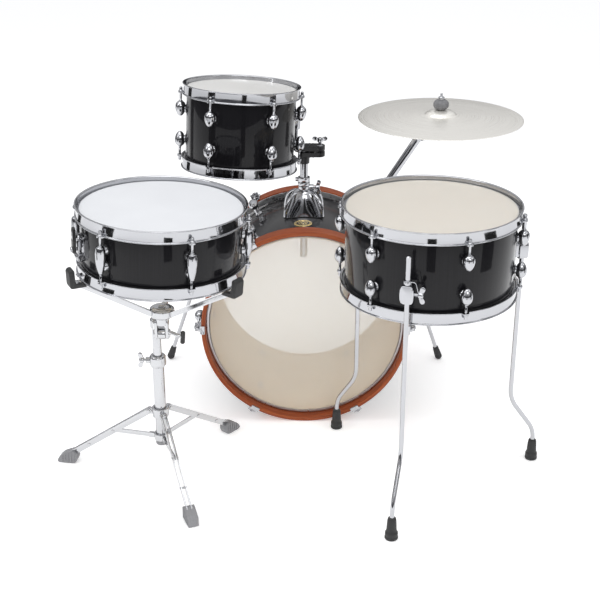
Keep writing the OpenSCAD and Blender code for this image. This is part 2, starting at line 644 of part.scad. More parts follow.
bass_shell();
bass_heads();
bass_hoops();
bass_lugs();
bass_lug_screws();
bass_claws();
bass_tension_rods();
bass_badge();
tom_holder_base();
cymbal_holder_base();
spur_brackets();
spur_left();
spur_right();
tom_post();
post_wing_bolt();
ball_clamp();
l_rod();
tom_shell();
tom_heads();
tom_hoops();
tom_lugs();
tom_tension_rods();
tom_bracket();
cymbal_arm();
arm_wing_bolt();
cymbal_tilter();
cymbal_felts();
cymbal();
cymbal_nut();
floor_tom_shell();
floor_tom_heads();
floor_tom_hoops();
floor_tom_lugs();
floor_tom_tension_rods();
floor_leg_brackets();
floor_leg_front();
floor_leg_right();
floor_leg_left();
snare_shell();
snare_batter_head();
snare_bottom_head();
snare_hoops();
snare_lugs();
snare_tension_rods();
snare_strainer();
strainer_lever();
snare_wires();
stand_base_tube();
stand_post();
stand_wing_bolt();
basket_hub();
basket_arms();
tripod_collar();
stand_leg_1();
stand_leg_2();
stand_leg_3();
stand_brace_1();
stand_brace_2();
stand_brace_3();
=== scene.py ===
import json
import math

import bmesh
import bpy
import numpy as np
from mathutils import Matrix, Vector


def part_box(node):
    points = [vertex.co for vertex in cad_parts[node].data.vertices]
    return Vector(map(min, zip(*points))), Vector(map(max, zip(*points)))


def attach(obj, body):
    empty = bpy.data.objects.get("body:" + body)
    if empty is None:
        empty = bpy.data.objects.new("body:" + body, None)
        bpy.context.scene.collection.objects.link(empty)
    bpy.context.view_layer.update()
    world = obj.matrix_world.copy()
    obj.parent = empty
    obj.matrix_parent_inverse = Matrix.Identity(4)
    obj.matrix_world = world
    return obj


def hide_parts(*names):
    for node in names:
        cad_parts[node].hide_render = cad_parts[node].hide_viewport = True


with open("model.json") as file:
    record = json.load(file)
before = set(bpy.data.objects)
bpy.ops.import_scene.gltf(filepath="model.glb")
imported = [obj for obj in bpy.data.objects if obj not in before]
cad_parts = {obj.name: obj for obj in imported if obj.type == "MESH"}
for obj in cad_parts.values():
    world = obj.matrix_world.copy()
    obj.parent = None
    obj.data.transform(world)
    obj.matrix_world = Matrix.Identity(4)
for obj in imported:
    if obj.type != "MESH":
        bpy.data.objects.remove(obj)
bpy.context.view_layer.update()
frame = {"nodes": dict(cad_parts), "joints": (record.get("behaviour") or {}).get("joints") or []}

# Shapes are drawn in millimetres in their own frame, and placed in metres.
MM = 0.001
X, Y, Z = Vector((1, 0, 0)), Vector((0, 1, 0)), Vector((0, 0, 1))
JOINT = {j["name"]: j for j in frame["joints"]}


# ---- Reading the frame ----
def islands(node):
    """The separate solids of a CAD node, as arrays of points."""
    mesh = frame["nodes"][node].data
    keys, ids = {}, []
    for v in mesh.vertices:
        ids.append(keys.setdefault(tuple(round(c, 6) for c in v.co), len(keys)))
    parent = list(range(len(keys)))

    def root(i):
        while parent[i] != i:
            parent[i] = parent[parent[i]]
            i = parent[i]
        return i

    for face in mesh.polygons:
        first = root(ids[face.vertices[0]])
        for v in face.vertices[1:]:
            parent[root(ids[v])] = first
    groups = {}
    for point, i in keys.items():
        groups.setdefault(root(i), []).append(point)
    return sorted((np.array(g) for g in groups.values()), key=lambda g: tuple(g.mean(0).round(4)))


def middle(points):
    return Vector((points.min(0) + points.max(0)) / 2)


def spots(node):
    """The middle of each solid in a CAD node."""
    return [middle(g) for g in islands(node)]


def end_point(node, lowest, band=0.004):
    """The middle of a CAD node's lowest or highest slice."""
    points = np.array([v.co[:] for v in frame["nodes"][node].data.vertices])
    z = points[:, 2]
    return middle(points[z < z.min() + band] if lowest else points[z > z.max() - band])


def joint_pos(name):
    return Vector(JOINT[name]["pos_m"])


def joint_axis(name):
    return Vector(JOINT[name]["axis"]).normalized()


def upright(point):
    """The frame on the floor under a point."""
    return Matrix.Translation((point.x, point.y, 0))


def heights(node):
    """A CAD node's lowest and highest z in millimetres."""
    return [c.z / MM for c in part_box(node)]


def basis(origin, z, x):
    """A frame at origin with its Z along z and its X as near x as that allows."""
    z = z.normalized()
    x = (x - x.dot(z) * z).normalized()
    y = z.cross(x)
    return Matrix(((x.x, y.x, z.x, origin.x), (x.y, y.y, z.y, origin.y), (x.z, y.z, z.z, origin.z),
                   (0, 0, 0, 1)))


def shift(x=0, y=0, z=0):
    """A move in millimetres."""
    return Matrix.Translation((x * MM, y * MM, z * MM))


def turn(degrees, axis):
    return Matrix.Rotation(math.radians(degrees), 4, axis)


class Drum:
    """A drum's place: its middle, its axis towards the batter head, its radius and half depth in mm."""

    def __init__(self, heads, shell, towards):
        a, b = heads
        self.mid = (a + b) / 2
        self.axis = (a - b).normalized()
        if self.axis.dot(towards) < 0:
            self.axis = -self.axis
        points = np.array([v.co[:] for v in frame["nodes"][shell].data.vertices]) - self.mid
        along = points @ np.array(self.axis)
        self.edge = along.max() / MM
        self.r = np.linalg.norm(points - along[:, None] * np.array(self.axis), axis=1).max() / MM

    def frame(self, side=1):
        """The frame of one bearing edge, with Z out of the drum."""
        z = self.axis * side
        return basis(self.mid + z * self.edge * MM, z, X if abs(z.x) < 0.9 else Y)

    def seat(self, point, side=None):
        """A frame on the shell under a point: Y outwards, Z along the axis towards the nearer end."""
        rel = point - self.mid
        along = rel.dot(self.axis)
        out = (rel - along * self.axis).normalized()
        z = self.axis * (side or (1 if along >= 0 else -1))
        return basis(self.mid + along * self.axis + out * self.r * MM, z, out.cross(z))


# ---- Shapes ----
def rounded(points, radius, steps=4, closed=True):
    """The polyline with its corners rounded; radius is one number, or one for each point."""
    pts = [np.array(p, float) for p in points]
    n = len(pts)
    radii = radius if isinstance(radius, (list, tuple)) else [radius] * n
    out = []
    for i, p in enumerate(pts):
        if (not closed and i in (0, n - 1)) or radii[i] <= 0:
            out.append(p)
            continue
        a, b = pts[i - 1] - p, pts[(i + 1) % n] - p
        la, lb = np.linalg.norm(a), np.linalg.norm(b)
        cut = min(radii[i], la * 0.49, lb * 0.49)
        start, end = p + a / la * cut, p + b / lb * cut
        for k in range(steps + 1):
            t = k / steps
            out.append((1 - t) ** 2 * start + 2 * t * (1 - t) * p + t * t * end)
    return out


def lathe(profile, segs=64, closed=False):
    """A solid of revolution about Z from (radius, z) points."""
    verts, rings = [], []
    for r, z in profile:
        if r < 1e-6:
            rings.append([len(verts)] * segs)
            verts.append((0, 0, z))
            continue
        rings.append(list(range(len(verts), len(verts) + segs)))
        angles = [2 * math.pi * k / segs for k in range(segs)]
        verts += [(r * math.cos(a), r * math.sin(a), z) for a in angles]
    run = [0.0]
    for a, b in zip(profile, profile[1:]):
        run.append(run[-1] + math.dist(a, b))
    reach = max(r for r, _ in profile) * 2 * math.pi / segs
    faces, uvs = [], []
    pairs = [(i, i + 1, run[i], run[i + 1]) for i in range(len(profile) - 1)]
    if closed:
        pairs.append((len(profile) - 1, 0, run[-1], run[-1] + math.dist(profile[-1], profile[0])))
    for i, j, low, high in pairs:
        for k in range(segs):
            m = (k + 1) % segs
            corners = [(rings[i][k], k, low), (rings[i][m], k + 1, low),
                       (rings[j][m], k + 1, high), (rings[j][k], k, high)]
            seen, face, uv = set(), [], []
            for v, across, up in corners:
                if v not in seen:
                    seen.add(v)
                    face.append(v)
                    uv.append((across * reach * MM, up * MM))
            if len(face) > 2:
                faces.append(face)
                uvs.append(uv)
    return np.array(verts, float), faces, uvs


def spun(profile, radius, segs, steps=4):
    """A lathed solid with rounded corners; a profile that starts off the axis closes into a ring."""
    ring = profile[0][0] > 0
    return lathe(rounded(profile, radius, steps, ring), segs, ring)


def pipe(inner, outer, first, last, radius, segs, steps=4):
    """A round tube from first to last along Z, or a solid bar where inner is 0."""
    return spun([(inner, first), (outer, first), (outer, last), (inner, last)], radius, segs, steps)


def boss(end):
    """The boss under a wing bolt, along Z."""
    return pipe(3.2, 7, 9, end, 1.2, 32)


def from_bmesh(bm):
    verts = np.array([v.co[:] for v in bm.verts], float)
    bm.verts.index_update()
    faces = [[v.index for v in f.verts] for f in bm.faces]
    uvs = [[((verts[i][0] + verts[i][1]) * MM, verts[i][2] * MM) for i in f] for f in faces]
    bm.free()
    return verts, faces, uvs


def rbox(x, y, z, bevel=1.5, steps=3):
    """A box with rounded edges, centred."""
    bm = bmesh.new()
    bmesh.ops.create_cube(bm, size=1, matrix=Matrix.Diagonal((x, y, z, 1)))
    bmesh.ops.bevel(bm, geom=bm.edges[:], offset=bevel, segments=steps, profile=0.5,
                    affect="EDGES", clamp_overlap=True)
    return from_bmesh(bm)


def slab(outline, thick, bevel=0.8, steps=2):
    """A plate: an outline in XY, thick along Z and centred, with its rims rounded."""
    bm = bmesh.new()
    low = [bm.verts.new((p[0], p[1], -thick / 2)) for p in outline]
    high = [bm.verts.new((p[0], p[1], thick / 2)) for p in outline]
    bottom, top = bm.faces.new(low[::-1]), bm.faces.new(high)
    n = len(outline)
    for i in range(n):
        bm.faces.new((low[i], low[(i + 1) % n], high[(i + 1) % n], high[i]))
    rims = list(bottom.edges) + list(top.edges)
    if bevel:
        bmesh.ops.bevel(bm, geom=rims, offset=bevel, segments=steps, profile=0.5, affect="EDGES",
                        clamp_overlap=True)
    return from_bmesh(bm)


def sweep(path, radius, segs=20, cap=0.6):
    """A round bar along a path; radius is one number, or one for each point."""
    pts = [Vector(p) for p in path]
    radii = list(radius) if isinstance(radius, (list, tuple)) else [radius] * len(pts)
    if cap:
        first, last = (pts[0] - pts[1]).normalized(), (pts[-1] - pts[-2]).normalized()
        pts = [pts[0], pts[0] - first * cap] + pts[1:-1] + [pts[-1] - last * cap, pts[-1]]
        radii = [radii[0] - cap] + radii + [radii[-1] - cap]
    rings, verts, side, last_dir = [], [], None, None
    for i, p in enumerate(pts):
        a, b = pts[max(i - 1, 0)], pts[min(i + 1, len(pts) - 1)]
        d = (b - a).normalized()
        if side is None:
            side = d.orthogonal().normalized()
        else:
            side = (last_dir.rotation_difference(d) @ side).normalized()
        last_dir, up = d, d.cross(side)
        rings.append(list(range(len(verts), len(verts) + segs)))
        for k in range(segs):
            t = 2 * math.pi * k / segs
            verts.append(p + (side * math.cos(t) + up * math.sin(t)) * radii[i])
    faces, uvs, run = [rings[0][::-1], rings[-1]], [[(0, 0)] * segs, [(0, 0)] * segs], 0
    for i in range(len(rings) - 1):
        step = (pts[i + 1] - pts[i]).length
        for k in range(segs):
            m = (k + 1) % segs
            faces.append([rings[i][k], rings[i][m], rings[i + 1][m], rings[i + 1][k]])
            u, v = k / segs * 6 * radii[i] * MM, (k + 1) / segs * 6 * radii[i] * MM
            uvs.append([(u, run * MM), (v, run * MM), (v, (run + step) * MM), (u, (run + step) * MM)])
        run += step
    return np.array([v[:] for v in verts]), faces, uvs


class Piece:
    """One visible piece, gathered from shapes, each placed and given one of its materials."""

    def __init__(self, name, body, slot, *materials):
        self.name, self.body, self.slot, self.materials = name, body, slot, materials
        self.verts, self.faces, self.uvs, self.index, self.count = [], [], [], [], 0

    def add(self, shape, place=Matrix(), material=0):
        verts, faces, uvs = shape
        m = np.array(place)
        self.verts.append(verts * MM @ m[:3, :3].T + m[:3, 3])
        self.faces += [[v + self.count for v in f] for f in faces]
        self.uvs += uvs
        self.index += [material] * len(faces)
        self.count += len(verts)
        return self

    def done(self, sharp=38):
        """Builds the piece in place of the CAD node of its name."""
        mesh = bpy.data.meshes.new(self.name)
        mesh.from_pydata(np.concatenate(self.verts).tolist(), [], self.faces)
        layer = mesh.uv_layers.new(name="UVMap")
        layer.data.foreach_set("uv", np.array([c for f in self.uvs for p in f for c in p], "f"))
        for m in self.materials:
            mesh.materials.append(m)
        mesh.polygons.foreach_set("material_index", self.index)
        bm = bmesh.new()
        bm.from_mesh(mesh)
        bmesh.ops.recalc_face_normals(bm, faces=bm.faces[:])
        bm.to_mesh(mesh)
        bm.free()
        mesh.shade_smooth()
        mesh.set_sharp_from_angle(angle=math.radians(sharp))
        obj = bpy.data.objects.new(self.name, mesh)
        bpy.context.collection.objects.link(obj)
        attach(obj, self.body)
        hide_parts(self.name)
        return obj


# ---- Materials ----
def shader(name, color, rough, metal=0.0, **sockets):
    mat = bpy.data.materials.new(name)
    mat.use_nodes = True
    bsdf = mat.node_tree.nodes["Principled BSDF"]
    bsdf.inputs["Base Color"].default_value = (*color, 1)
    bsdf.inputs["Roughness"].default_value = rough
    bsdf.inputs["Metallic"].default_value = metal
    for key, value in sockets.items():
        bsdf.inputs[key.replace("_", " ")].default_value = value
    return mat, bsdf


def add_noise(mat, coord, stretch, scale, detail=4):
    """A noise over the piece; coord is Object or UV, both in metres."""
    nodes, links = mat.node_tree.nodes, mat.node_tree.links
    coords, mapping = nodes.new("ShaderNodeTexCoord"), nodes.new("ShaderNodeMapping")
    noise = nodes.new("ShaderNodeTexNoise")
    mapping.inputs["Scale"].default_value = stretch
    noise.inputs["Scale"].default_value = scale
    noise.inputs["Detail"].default_value = detail
    links.new(coords.outputs[coord], mapping.inputs["Vector"])
    links.new(mapping.outputs["Vector"], noise.inputs["Vector"])
    return noise.outputs["Fac"]


def ramp(mat, value, socket, low, high, start=0.35, stop=0.65):
    """Feeds a value to a socket through a ramp between two colours or two numbers."""
    nodes, links = mat.node_tree.nodes, mat.node_tree.links
    node = nodes.new("ShaderNodeValToRGB")
    for element, place, c in zip(node.color_ramp.elements, (start, stop), (low, high)):
        element.position = place
        element.color = (*c, 1) if isinstance(c, tuple) else (c, c, c, 1)
    links.new(value, node.inputs["Fac"])
    links.new(node.outputs["Color"], socket)


def add_bump(mat, bsdf, value, depth, strength=0.5):
    nodes, links = mat.node_tree.nodes, mat.node_tree.links
    bump = nodes.new("ShaderNodeBump")
    bump.inputs["Distance"].default_value = depth
    bump.inputs["Strength"].default_value = strength
    links.new(value, bump.inputs["Height"])
    links.new(bump.outputs["Normal"], bsdf.inputs["Normal"])


def plated(name, color, rough_low, rough_high, wave=0.00004):
    """Plated metal: smudged gloss over a faintly uneven surface."""
    mat, bsdf = shader(name, color, rough_low, 1.0)
    ramp(mat, add_noise(mat, "Object", (1, 1, 1), 60, 6), bsdf.inputs["Roughness"],
         rough_low, rough_high)
    add_bump(mat, bsdf, add_noise(mat, "Object", (1, 1, 1), 35, 2), wave, 0.3)
    return mat


def lacquer():
    """Gloss black lacquer over a faint vertical hairline."""
    mat, bsdf = shader("black_lacquer", (0.01, 0.01, 0.012), 0.3, 0.0, Coat_Weight=1.0,
                       Coat_Roughness=0.04, Coat_IOR=1.28, Specular_IOR_Level=0.06)
    hair = add_noise(mat, "UV", (900, 6, 1), 1, 5)
    ramp(mat, hair, bsdf.inputs["Base Color"], (0.0068, 0.0066, 0.0078), (0.0095, 0.0092, 0.011))
    add_bump(mat, bsdf, hair, 0.00001, 0.1)
    return mat


def wood(name, dark, light, rough, grain=(7, 380, 1), coat=0.3):
    """Stained or plain wood with its grain round the drum."""
    mat, bsdf = shader(name, light, rough, 0.0, Coat_Weight=coat, Coat_Roughness=0.15,
                       Specular_IOR_Level=0.25)
    lines = add_noise(mat, "UV", grain, 1, 8)
    ramp(mat, lines, bsdf.inputs["Base Color"], dark, light, 0.3, 0.7)
    add_bump(mat, bsdf, lines, 0.00012, 0.35)
    return mat


def film(name, color, shade, rough, alpha, grain):
    """A drum head's film: a fine tooth, and a slight clouding."""
    mat, bsdf = shader(name, color, rough, 0.0, Alpha=alpha)
    ramp(mat, add_noise(mat, "Object", (1, 1, 1), 9, 3), bsdf.inputs["Base Color"], shade, color)
    add_bump(mat, bsdf, add_noise(mat, "Object", (1, 1, 1), 1400, 2), grain, 0.4)
    return mat


def moulded(name, color, light, rough, scale=900, depth=0.0001):
    """Rubber, plastic or felt with a fine grain."""
    mat, bsdf = shader(name, color, rough)
    ramp(mat, add_noise(mat, "Object", (1, 1, 1), scale, 3), bsdf.inputs["Base Color"], color, light)
    add_bump(mat, bsdf, add_noise(mat, "Object", (1, 1, 1), scale, 3), depth, 0.6)
    return mat


def bronze():
    """Pale cymbal bronze with lathe grooves round it."""
    mat, bsdf = shader("cymbal_bronze", (0.97, 0.945, 0.885), 0.3, 0.7)
    grooves = add_noise(mat, "UV", (2, 1500, 1), 1, 3)
    ramp(mat, grooves, bsdf.inputs["Base Color"], (0.94, 0.915, 0.85), (1.0, 0.98, 0.93))
    ramp(mat, grooves, bsdf.inputs["Roughness"], 0.26, 0.42)
    add_bump(mat, bsdf, grooves, 0.00006, 0.5)
    return mat


CHROME = plated("chrome", (0.5, 0.505, 0.525), 0.04, 0.1)
STAND = plated("stand_chrome", (0.57, 0.575, 0.59), 0.08, 0.16)
ALU = plated("ring_aluminium", (0.62, 0.62, 0.63), 0.25, 0.4)
STEEL = plated("screw_steel", (0.45, 0.44, 0.43), 0.25, 0.4)
BRASS = plated("badge_gold", (0.75, 0.58, 0.26), 0.12, 0.25)
LACQUER = lacquer()
HOOP_WOOD = wood("stained_wood", (0.19, 0.03, 0.008), (0.41, 0.1, 0.028), 0.45, coat=0.04)
INNER_WOOD = wood("inner_wood", (0.76, 0.58, 0.34), (0.9, 0.73, 0.48), 0.6, (5, 160, 1), 0.0)
CLEAR = film("clear_head", (0.9, 0.88, 0.81), (0.89, 0.865, 0.795), 0.2, 0.3, 0.00002)
HAZY = film("hazy_head", (0.86, 0.845, 0.8), (0.85, 0.83, 0.78), 0.22, 0.5, 0.00002)
# A whiter, more opaque copy of the hazy film, for the rack tom. Its extra whiteness is painted light
# that brightens a head the lamps light less.
PAINTED_LIGHT_FILM = film("rack_tom_head_painted_light", (0.97, 0.965, 0.95), (0.96, 0.955, 0.935), 0.22, 0.75, 0.00002)
COATED = film("coated_head", (0.68, 0.69, 0.71), (0.66, 0.67, 0.69), 0.55, 1.0, 0.00006)
RUBBER = moulded("foot_rubber", (0.012, 0.012, 0.013), (0.03, 0.03, 0.03), 0.55)
GREY_RUBBER = moulded("stand_rubber", (0.22, 0.22, 0.23), (0.32, 0.32, 0.33), 0.6)
PLASTIC = moulded("black_plastic", (0.01, 0.01, 0.011), (0.022, 0.022, 0.023), 0.35, 600, 0.00005)
FELT = moulded("felt", (0.13, 0.13, 0.135), (0.26, 0.26, 0.27), 0.95, 420, 0.0006)
BRONZE = bronze()

# ---- Drums in the frame ----
BASS = Drum(spots("bass_heads"), "bass_shell", -Y)
TOM = Drum(spots("tom_heads"), "tom_shell", Z)
FLOOR = Drum(spots("floor_tom_heads"), "floor_tom_shell", Z)
SNARE = Drum([spots("snare_batter_head")[0], spots("snare_bottom_head")[0]], "snare_shell", Z)
RIM_ABOVE = 10
ROD_OFF = 13


# ---- Parts that every drum has ----
def make_shell(drum, name, body, wall=6):
    """Lacquered outside, bare wood inside, with sloping bearing edges."""
    r, e = drum.r, drum.edge
    outer = [(r - 2.5, -e), (r - 0.6, -e + 1), (r, -e + 3), (r, e - 3), (r - 0.6, e - 1), (r - 2.5, e)]
    inner = [(r - 2.5, e), (r - wall, e - 4), (r - wall, -e + 4), (r - 2.5, -e)]
    place = basis(drum.mid, drum.axis, X)
    piece = Piece(name, body, "black_lacquer", LACQUER, INNER_WOOD)
    piece.add(lathe(outer, 160), place, 0).add(lathe(inner, 160), place, 1)
    merge(piece.done())


def merge(obj):
    """Joins the points where an outer and an inner surface meet."""
    bm = bmesh.new()
    bm.from_mesh(obj.data)
    bmesh.ops.remove_doubles(bm, verts=bm.verts[:], dist=1e-6)
    bmesh.ops.recalc_face_normals(bm, faces=bm.faces[:])
    bm.to_mesh(obj.data)
    bm.free()


def head_shape(r, ring):
    """The film with its collar, turned down over the bearing edge."""
    top = [(0, 0.9), (r - 9, 0.9), (r - 3, 0.75), (r - 0.5, 0.3), (r + 1.1, -2.5), (r + 1.3, -6)]
    low = [(ring, -8), (ring, -9), (r + 0.8, -6.4), (r + 0.7, -2.7), (r - 0.9, 0.05), (r - 3.4, 0.3),
           (r - 9, 0.35), (0, 0.35)]
    return lathe(top + low, 128)


def make_heads(drum, name, body, slot, mat, *sides):
    r = drum.r
    piece = Piece(name, body, slot, mat, ALU)
    for side in sides:
        piece.add(head_shape(r, r + 1.4), drum.frame(side))
        piece.add(pipe(r + 0.6, r + 4.3, -13, -6.2, 0.9, 128), drum.frame(side), 1)
    piece.done()


def hoop_shape(r):
    """Triple-flanged steel, one sheet thick, with a rolled lip."""
    inner, outer = r + 4.8, r + 7
    profile = [(r + 1.9, -4.2), (inner, -4.2), (inner, 8.6), (outer + 0.6, 10), (outer + 3, 9.4),
               (outer + 2.8, 7.4), (outer, 7.4), (outer, -13.2), (outer + 2.8, -13.9),
               (outer + 2.8, -16), (inner, -15.8), (inner, -6), (r + 1.9, -6)]
    return spun(profile, 1.1, 160)


def ear_shape():
    outline = rounded([(-9, -4), (9, -4), (6, 5.5), (3, 7.2), (-3, 7.2), (-6, 5.5)], 2.5)
    return slab(outline, 2.4, 0.7)


def make_hoops(drum, name, body, lugs):
    piece = Piece(name, body, "chrome", CHROME)
    hoop, ear = hoop_shape(drum.r), ear_shape()
    for side in (1, -1):
        piece.add(hoop, drum.frame(side))
    for lug in lugs:
        off_mid = abs((lug - drum.mid).dot(drum.axis)) / MM
        for side in ((1, -1) if off_mid < 1 else (None,)):
            piece.add(ear, drum.seat(lug, side) @ shift(0, ROD_OFF - 1.5, drum.edge - 14.8 - off_mid))
    piece.done()


def rod_shape(length):
    """A tension rod from its washers down, with a thread at its end."""
    profile = [(0, 10.4), (2.6, 10.4), (3.4, 9.6), (3.6, 4.2), (4.6, 3.6), (5.3, 2.6), (5.3, 1.6),
               (6.1, 1.4), (6.1, 0), (2.7, -0.1)]
    thread = [(2.75 - 0.35 * (k % 2), -length * 0.45 - k * 0.5) for k in range(int(length))]
    thread = [p for p in thread if p[1] > -length]
    return lathe(rounded(profile, 0.4, 2, False) + thread + [(2.4, -length), (0, -length)], 24)


def make_rods(drum, name, body, length):
    piece = Piece(name, body, "chrome", CHROME)
    shank, drive = rod_shape(length), rbox(5.2, 5.2, 5.5, 0.7)
    for rod in spots(name):
        seat = drum.seat(rod)
        rise = drum.edge - 13.5 - abs((rod - drum.mid).dot(drum.axis)) / MM
        place = seat @ shift(0, ROD_OFF, rise)
        piece.add(shank, place).add(drive, place @ shift(0, 0, 8.4))
    piece.done()


def teardrop(width, height):
    """A lug's body: fat near the hoop, slim at its far end."""
    points = []
    for k in range(19):
        t = math.pi * k / 18
        points.append((width / 2 * math.sin(t) ** 0.9 * (1 + 0.2 * math.cos(t)),
                       height / 2 * math.cos(t)))
    points[0], points[-1] = (0, height / 2), (0, -height / 2)
    return lathe(points, 40)


def make_lugs(drum, name, body, off, width, height):
    piece = Piece(name, body, "chrome", CHROME, RUBBER)
    drop = teardrop(width, height)
    neck = spun([(0, off), (width * 0.3, off), (width * 0.27, 5), (width * 0.36, 1.2),
                 (width * 0.38, 0.6), (0, 0.6)], 1.2, 32, 3)
    pad = pipe(0, width * 0.43, 0.9, -0.4, 0.4, 32, 2)
    nut = spun([(0, 4), (4.6, 4), (5.2, 0), (0, 0)], 0.8, 24, 3)
    for lug in spots(name):
        seat = drum.seat(lug)
        piece.add(drop, seat @ shift(0, off, 0))
        piece.add(neck, seat @ turn(-90, "X"))
        piece.add(pad, seat @ turn(-90, "X"), 1)
        piece.add(nut, seat @ shift(0, off, height / 2 - 3))
    piece.done()


def wing_shapes():
    """A wing bolt along +Z: a hub and one of its two swept wings."""
    hub = spun([(0, 11), (4.6, 11), (5.8, 8), (5.8, 1.5), (4.4, 0), (0, 0)], 1, 24, 3)
    wing = slab(rounded([(3, 1), (9, 3), (17.5, 5), (18.5, 11), (12, 15), (6.5, 11), (3, 9)], 3.5),
                3.6, 1.2)
    return hub, wing


def add_wing(piece, place, shank=0.0, material=0):
    hub, wing = wing_shapes()
    piece.add(hub, place, material)
    for side in (0, 180):
        piece.add(wing, place @ turn(side, "Z") @ turn(90, "X"), material)
    if shank:
        piece.add(lathe([(0, 0.5), (2.9, 0.5), (2.9, -shank), (0, -shank)], 20), place, material)


def make_wing_bolt(name, slot, metal, place, shank):
    """A wing bolt that turns as a body of its own."""
    piece = Piece(name, name, slot, metal)
    add_wing(piece, place, shank)
    piece.done()


def make_tom(drum, kind, body, skin):
    """A tom's shell, heads, hoops, lugs and tension rods."""
    make_shell(drum, f"{kind}_shell", body)
    make_heads(drum, f"{kind}_heads", body, "clear_head", skin, 1, -1)
    make_hoops(drum, f"{kind}_hoops", body, spots(f"{kind}_lugs"))
    make_lugs(drum, f"{kind}_lugs", body, ROD_OFF, 24, 35)
    make_rods(drum, f"{kind}_tension_rods", body, 34)


# ---- Bass drum ----
def bass_drum():
    make_shell(BASS, "bass_shell", "root")
    r, front = BASS.r, 23.5
    head = Piece("bass_heads", "root", "clear_head", CLEAR, ALU)
    hoop = Piece("bass_hoops", "root", "stained_wood", HOOP_WOOD)
    ring = pipe(r + 7.5, r + 17.5, -14.4, front, [1.5, 1.5, 3, 2.5], 192)
    for side in (1, -1):
        head.add(head_shape(r, r + 2), BASS.frame(side))
        head.add(pipe(r + 0.8, r + 6.4, -16.4, -2, 0.9, 128), BASS.frame(side), 1)
        head.add(pipe(r + 5, r + 14.9, -16.4, -14.5, 0.6, 128), BASS.frame(side), 1)
        hoop.add(ring, BASS.frame(side))
    head.done()
    hoop.done()
    off = 27.5
    make_lugs(BASS, "bass_lugs", "root", off, 25, 37)
    screws = Piece("bass_lug_screws", "root", "screw_steel", STEEL)
    washer = spun([(0, 4.4), (2.6, 4.2), (4.1, 3), (4.1, 1.3), (7.2, 1.3), (7.2, 0), (0, 0)], 0.5, 28, 3)
    slot = rbox(1.1, 6, 0.6, 0.15)
    for spot in spots("bass_lug_screws"):
        seat = BASS.seat(spot) @ shift(0, -6, 0) @ turn(90, "X")
        screws.add(washer, seat).add(slot, seat @ shift(0, 0, 4.3))
    screws.done()
    claws = Piece("bass_claws", "root", "chrome", CHROME, RUBBER)
    outline = rounded([(r + 9, front), (r + 17.6, front), (r + 17.6, -13), (r + 20.6, -13),
                       (r + 20.8, 2), (r + 34, 3.4), (r + 34, 7), (r + 25, 7.2), (r + 20.6, 13),
                       (r + 20.6, front + 3), (r + 9, front + 3)],
                      [1, 0.5, 0.6, 1.2, 1.5, 1.6, 1.6, 4, 3, 3, 1.2])
    hook = slab([(p[0] - r, p[1]) for p in outline], 21, 1.4, 3)
    liner = rbox(9, 19, 1, 0.4)
    cup = spun([(3.4, -1), (7.8, -2), (7.8, 2), (6.5, 2), (6.5, -0.1), (3.4, -0.1)], 0.4, 28)
    rods = Piece("bass_tension_rods", "root", "chrome", CHROME)
    shank, drive = rod_shape(58), rbox(5.2, 5.2, 6, 0.7)
    for spot in spots("bass_claws"):
        seat = BASS.seat(spot)
        rise = BASS.edge - abs((spot - BASS.mid).dot(BASS.axis)) / MM
        place = seat @ shift(0, 0, rise)
        claws.add(hook, place @ basis(Vector(), X, Y))
        claws.add(cup, place @ shift(0, off, 7))
        claws.add(liner, place @ shift(0, 13, front + 0.3) @ turn(90, "Z"), 1)
        rods.add(shank, place @ shift(0, off, 7)).add(drive, place @ shift(0, off, 15.4))
    claws.done()
    rods.done()


def badge():
    """A round shell badge: a gold rim, a black field, a ring and six rays, with no lettering."""
    spot = spots("bass_badge")[0]
    seat = BASS.seat(spot) @ turn(-90, "X")
    piece = Piece("bass_badge", "root", "brass_badge", BRASS, LACQUER)
    disc = pipe(0, 15, 1.0, -1.2, 0.3, 64, 2)
    rim = spun([(15, -1.2), (22, -1.4), (22, 0.5), (19.5, 1.5), (15.5, 1.5)], 0.5, 64)
    piece.add(disc, seat, 1).add(rim, seat)
    piece.add(pipe(9, 11, 0.8, 1.5, 0.3, 48), seat)
    ray = slab(rounded([(-1, 3), (1, 3), (1.8, 7.5), (-1.8, 7.5)], 0.5), 0.8, 0.2)
    for k in range(6):
        piece.add(ray, seat @ shift(0, 0, 1.1) @ turn(60 * k, "Z"))
    piece.done()


def tom_holder():
    """The holder's domed base, its post with a memory lock, and the wing bolt."""
    post = middle(np.array([list(c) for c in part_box("tom_post")]))
    at, (low, high) = upright(post), heights("tom_post")
    sleeve_top = heights("tom_holder_base")[1]
    wing_z = joint_pos("post_wing_turn").z / MM
    base = Piece("tom_holder_base", "root", "chrome", CHROME, RUBBER)
    base.add(dome(49, 40, sleeve_top - 18, post))
    base.add(dome(50, 41, sleeve_top, post, flat=True), material=1)
    steps = ((9.8, 0), (15, 0), (15, -8), (12.8, -10), (12.8, -22), (17, -26), (17, -32), (9.8, -32))
    base.add(spun([(x, sleeve_top + z) for x, z in steps], 1.5, 48), at)
    for a in (38, 142, 218, 322):
        path = []
        for k in range(13):
            t = math.pi / 2 * k / 12
            reach = 13 + 43 * math.sin(t)
            dx, dy = reach * math.cos(math.radians(a)), reach * math.sin(math.radians(a))
            floor_z = bass_top(dx * MM + post.x)
            path.append((dx, dy, floor_z + 4 + (sleeve_top - 28 - floor_z) * math.cos(t) ** 0.8))
        base.add(sweep(path, [3.4 + 0.13 * k for k in range(13)], 16), at)
    base.add(boss(24), at @ shift(0, 0, wing_z) @ turn(90, "Y"))
    base.done()
    tube = Piece("tom_post", "tom_post", "chrome", CHROME)
    tube.add(pipe(7.5, 9.5, low, high, 0.6, 48), at)
    lock = ((9.5, 0.4), (14.6, 0.4), (15, 12), (9.5, 12))
    tube.add(spun([(x, sleeve_top + z) for x, z in lock], 1.4, 48), at)
    tube.add(rbox(9, 7, 9, 1.2), at @ shift(-16, 0, sleeve_top + 6.4))
    tube.done()
    make_wing_bolt("post_wing_bolt", "chrome", CHROME, at @ shift(27.5, 0, wing_z) @ turn(90, "Y"), 17)


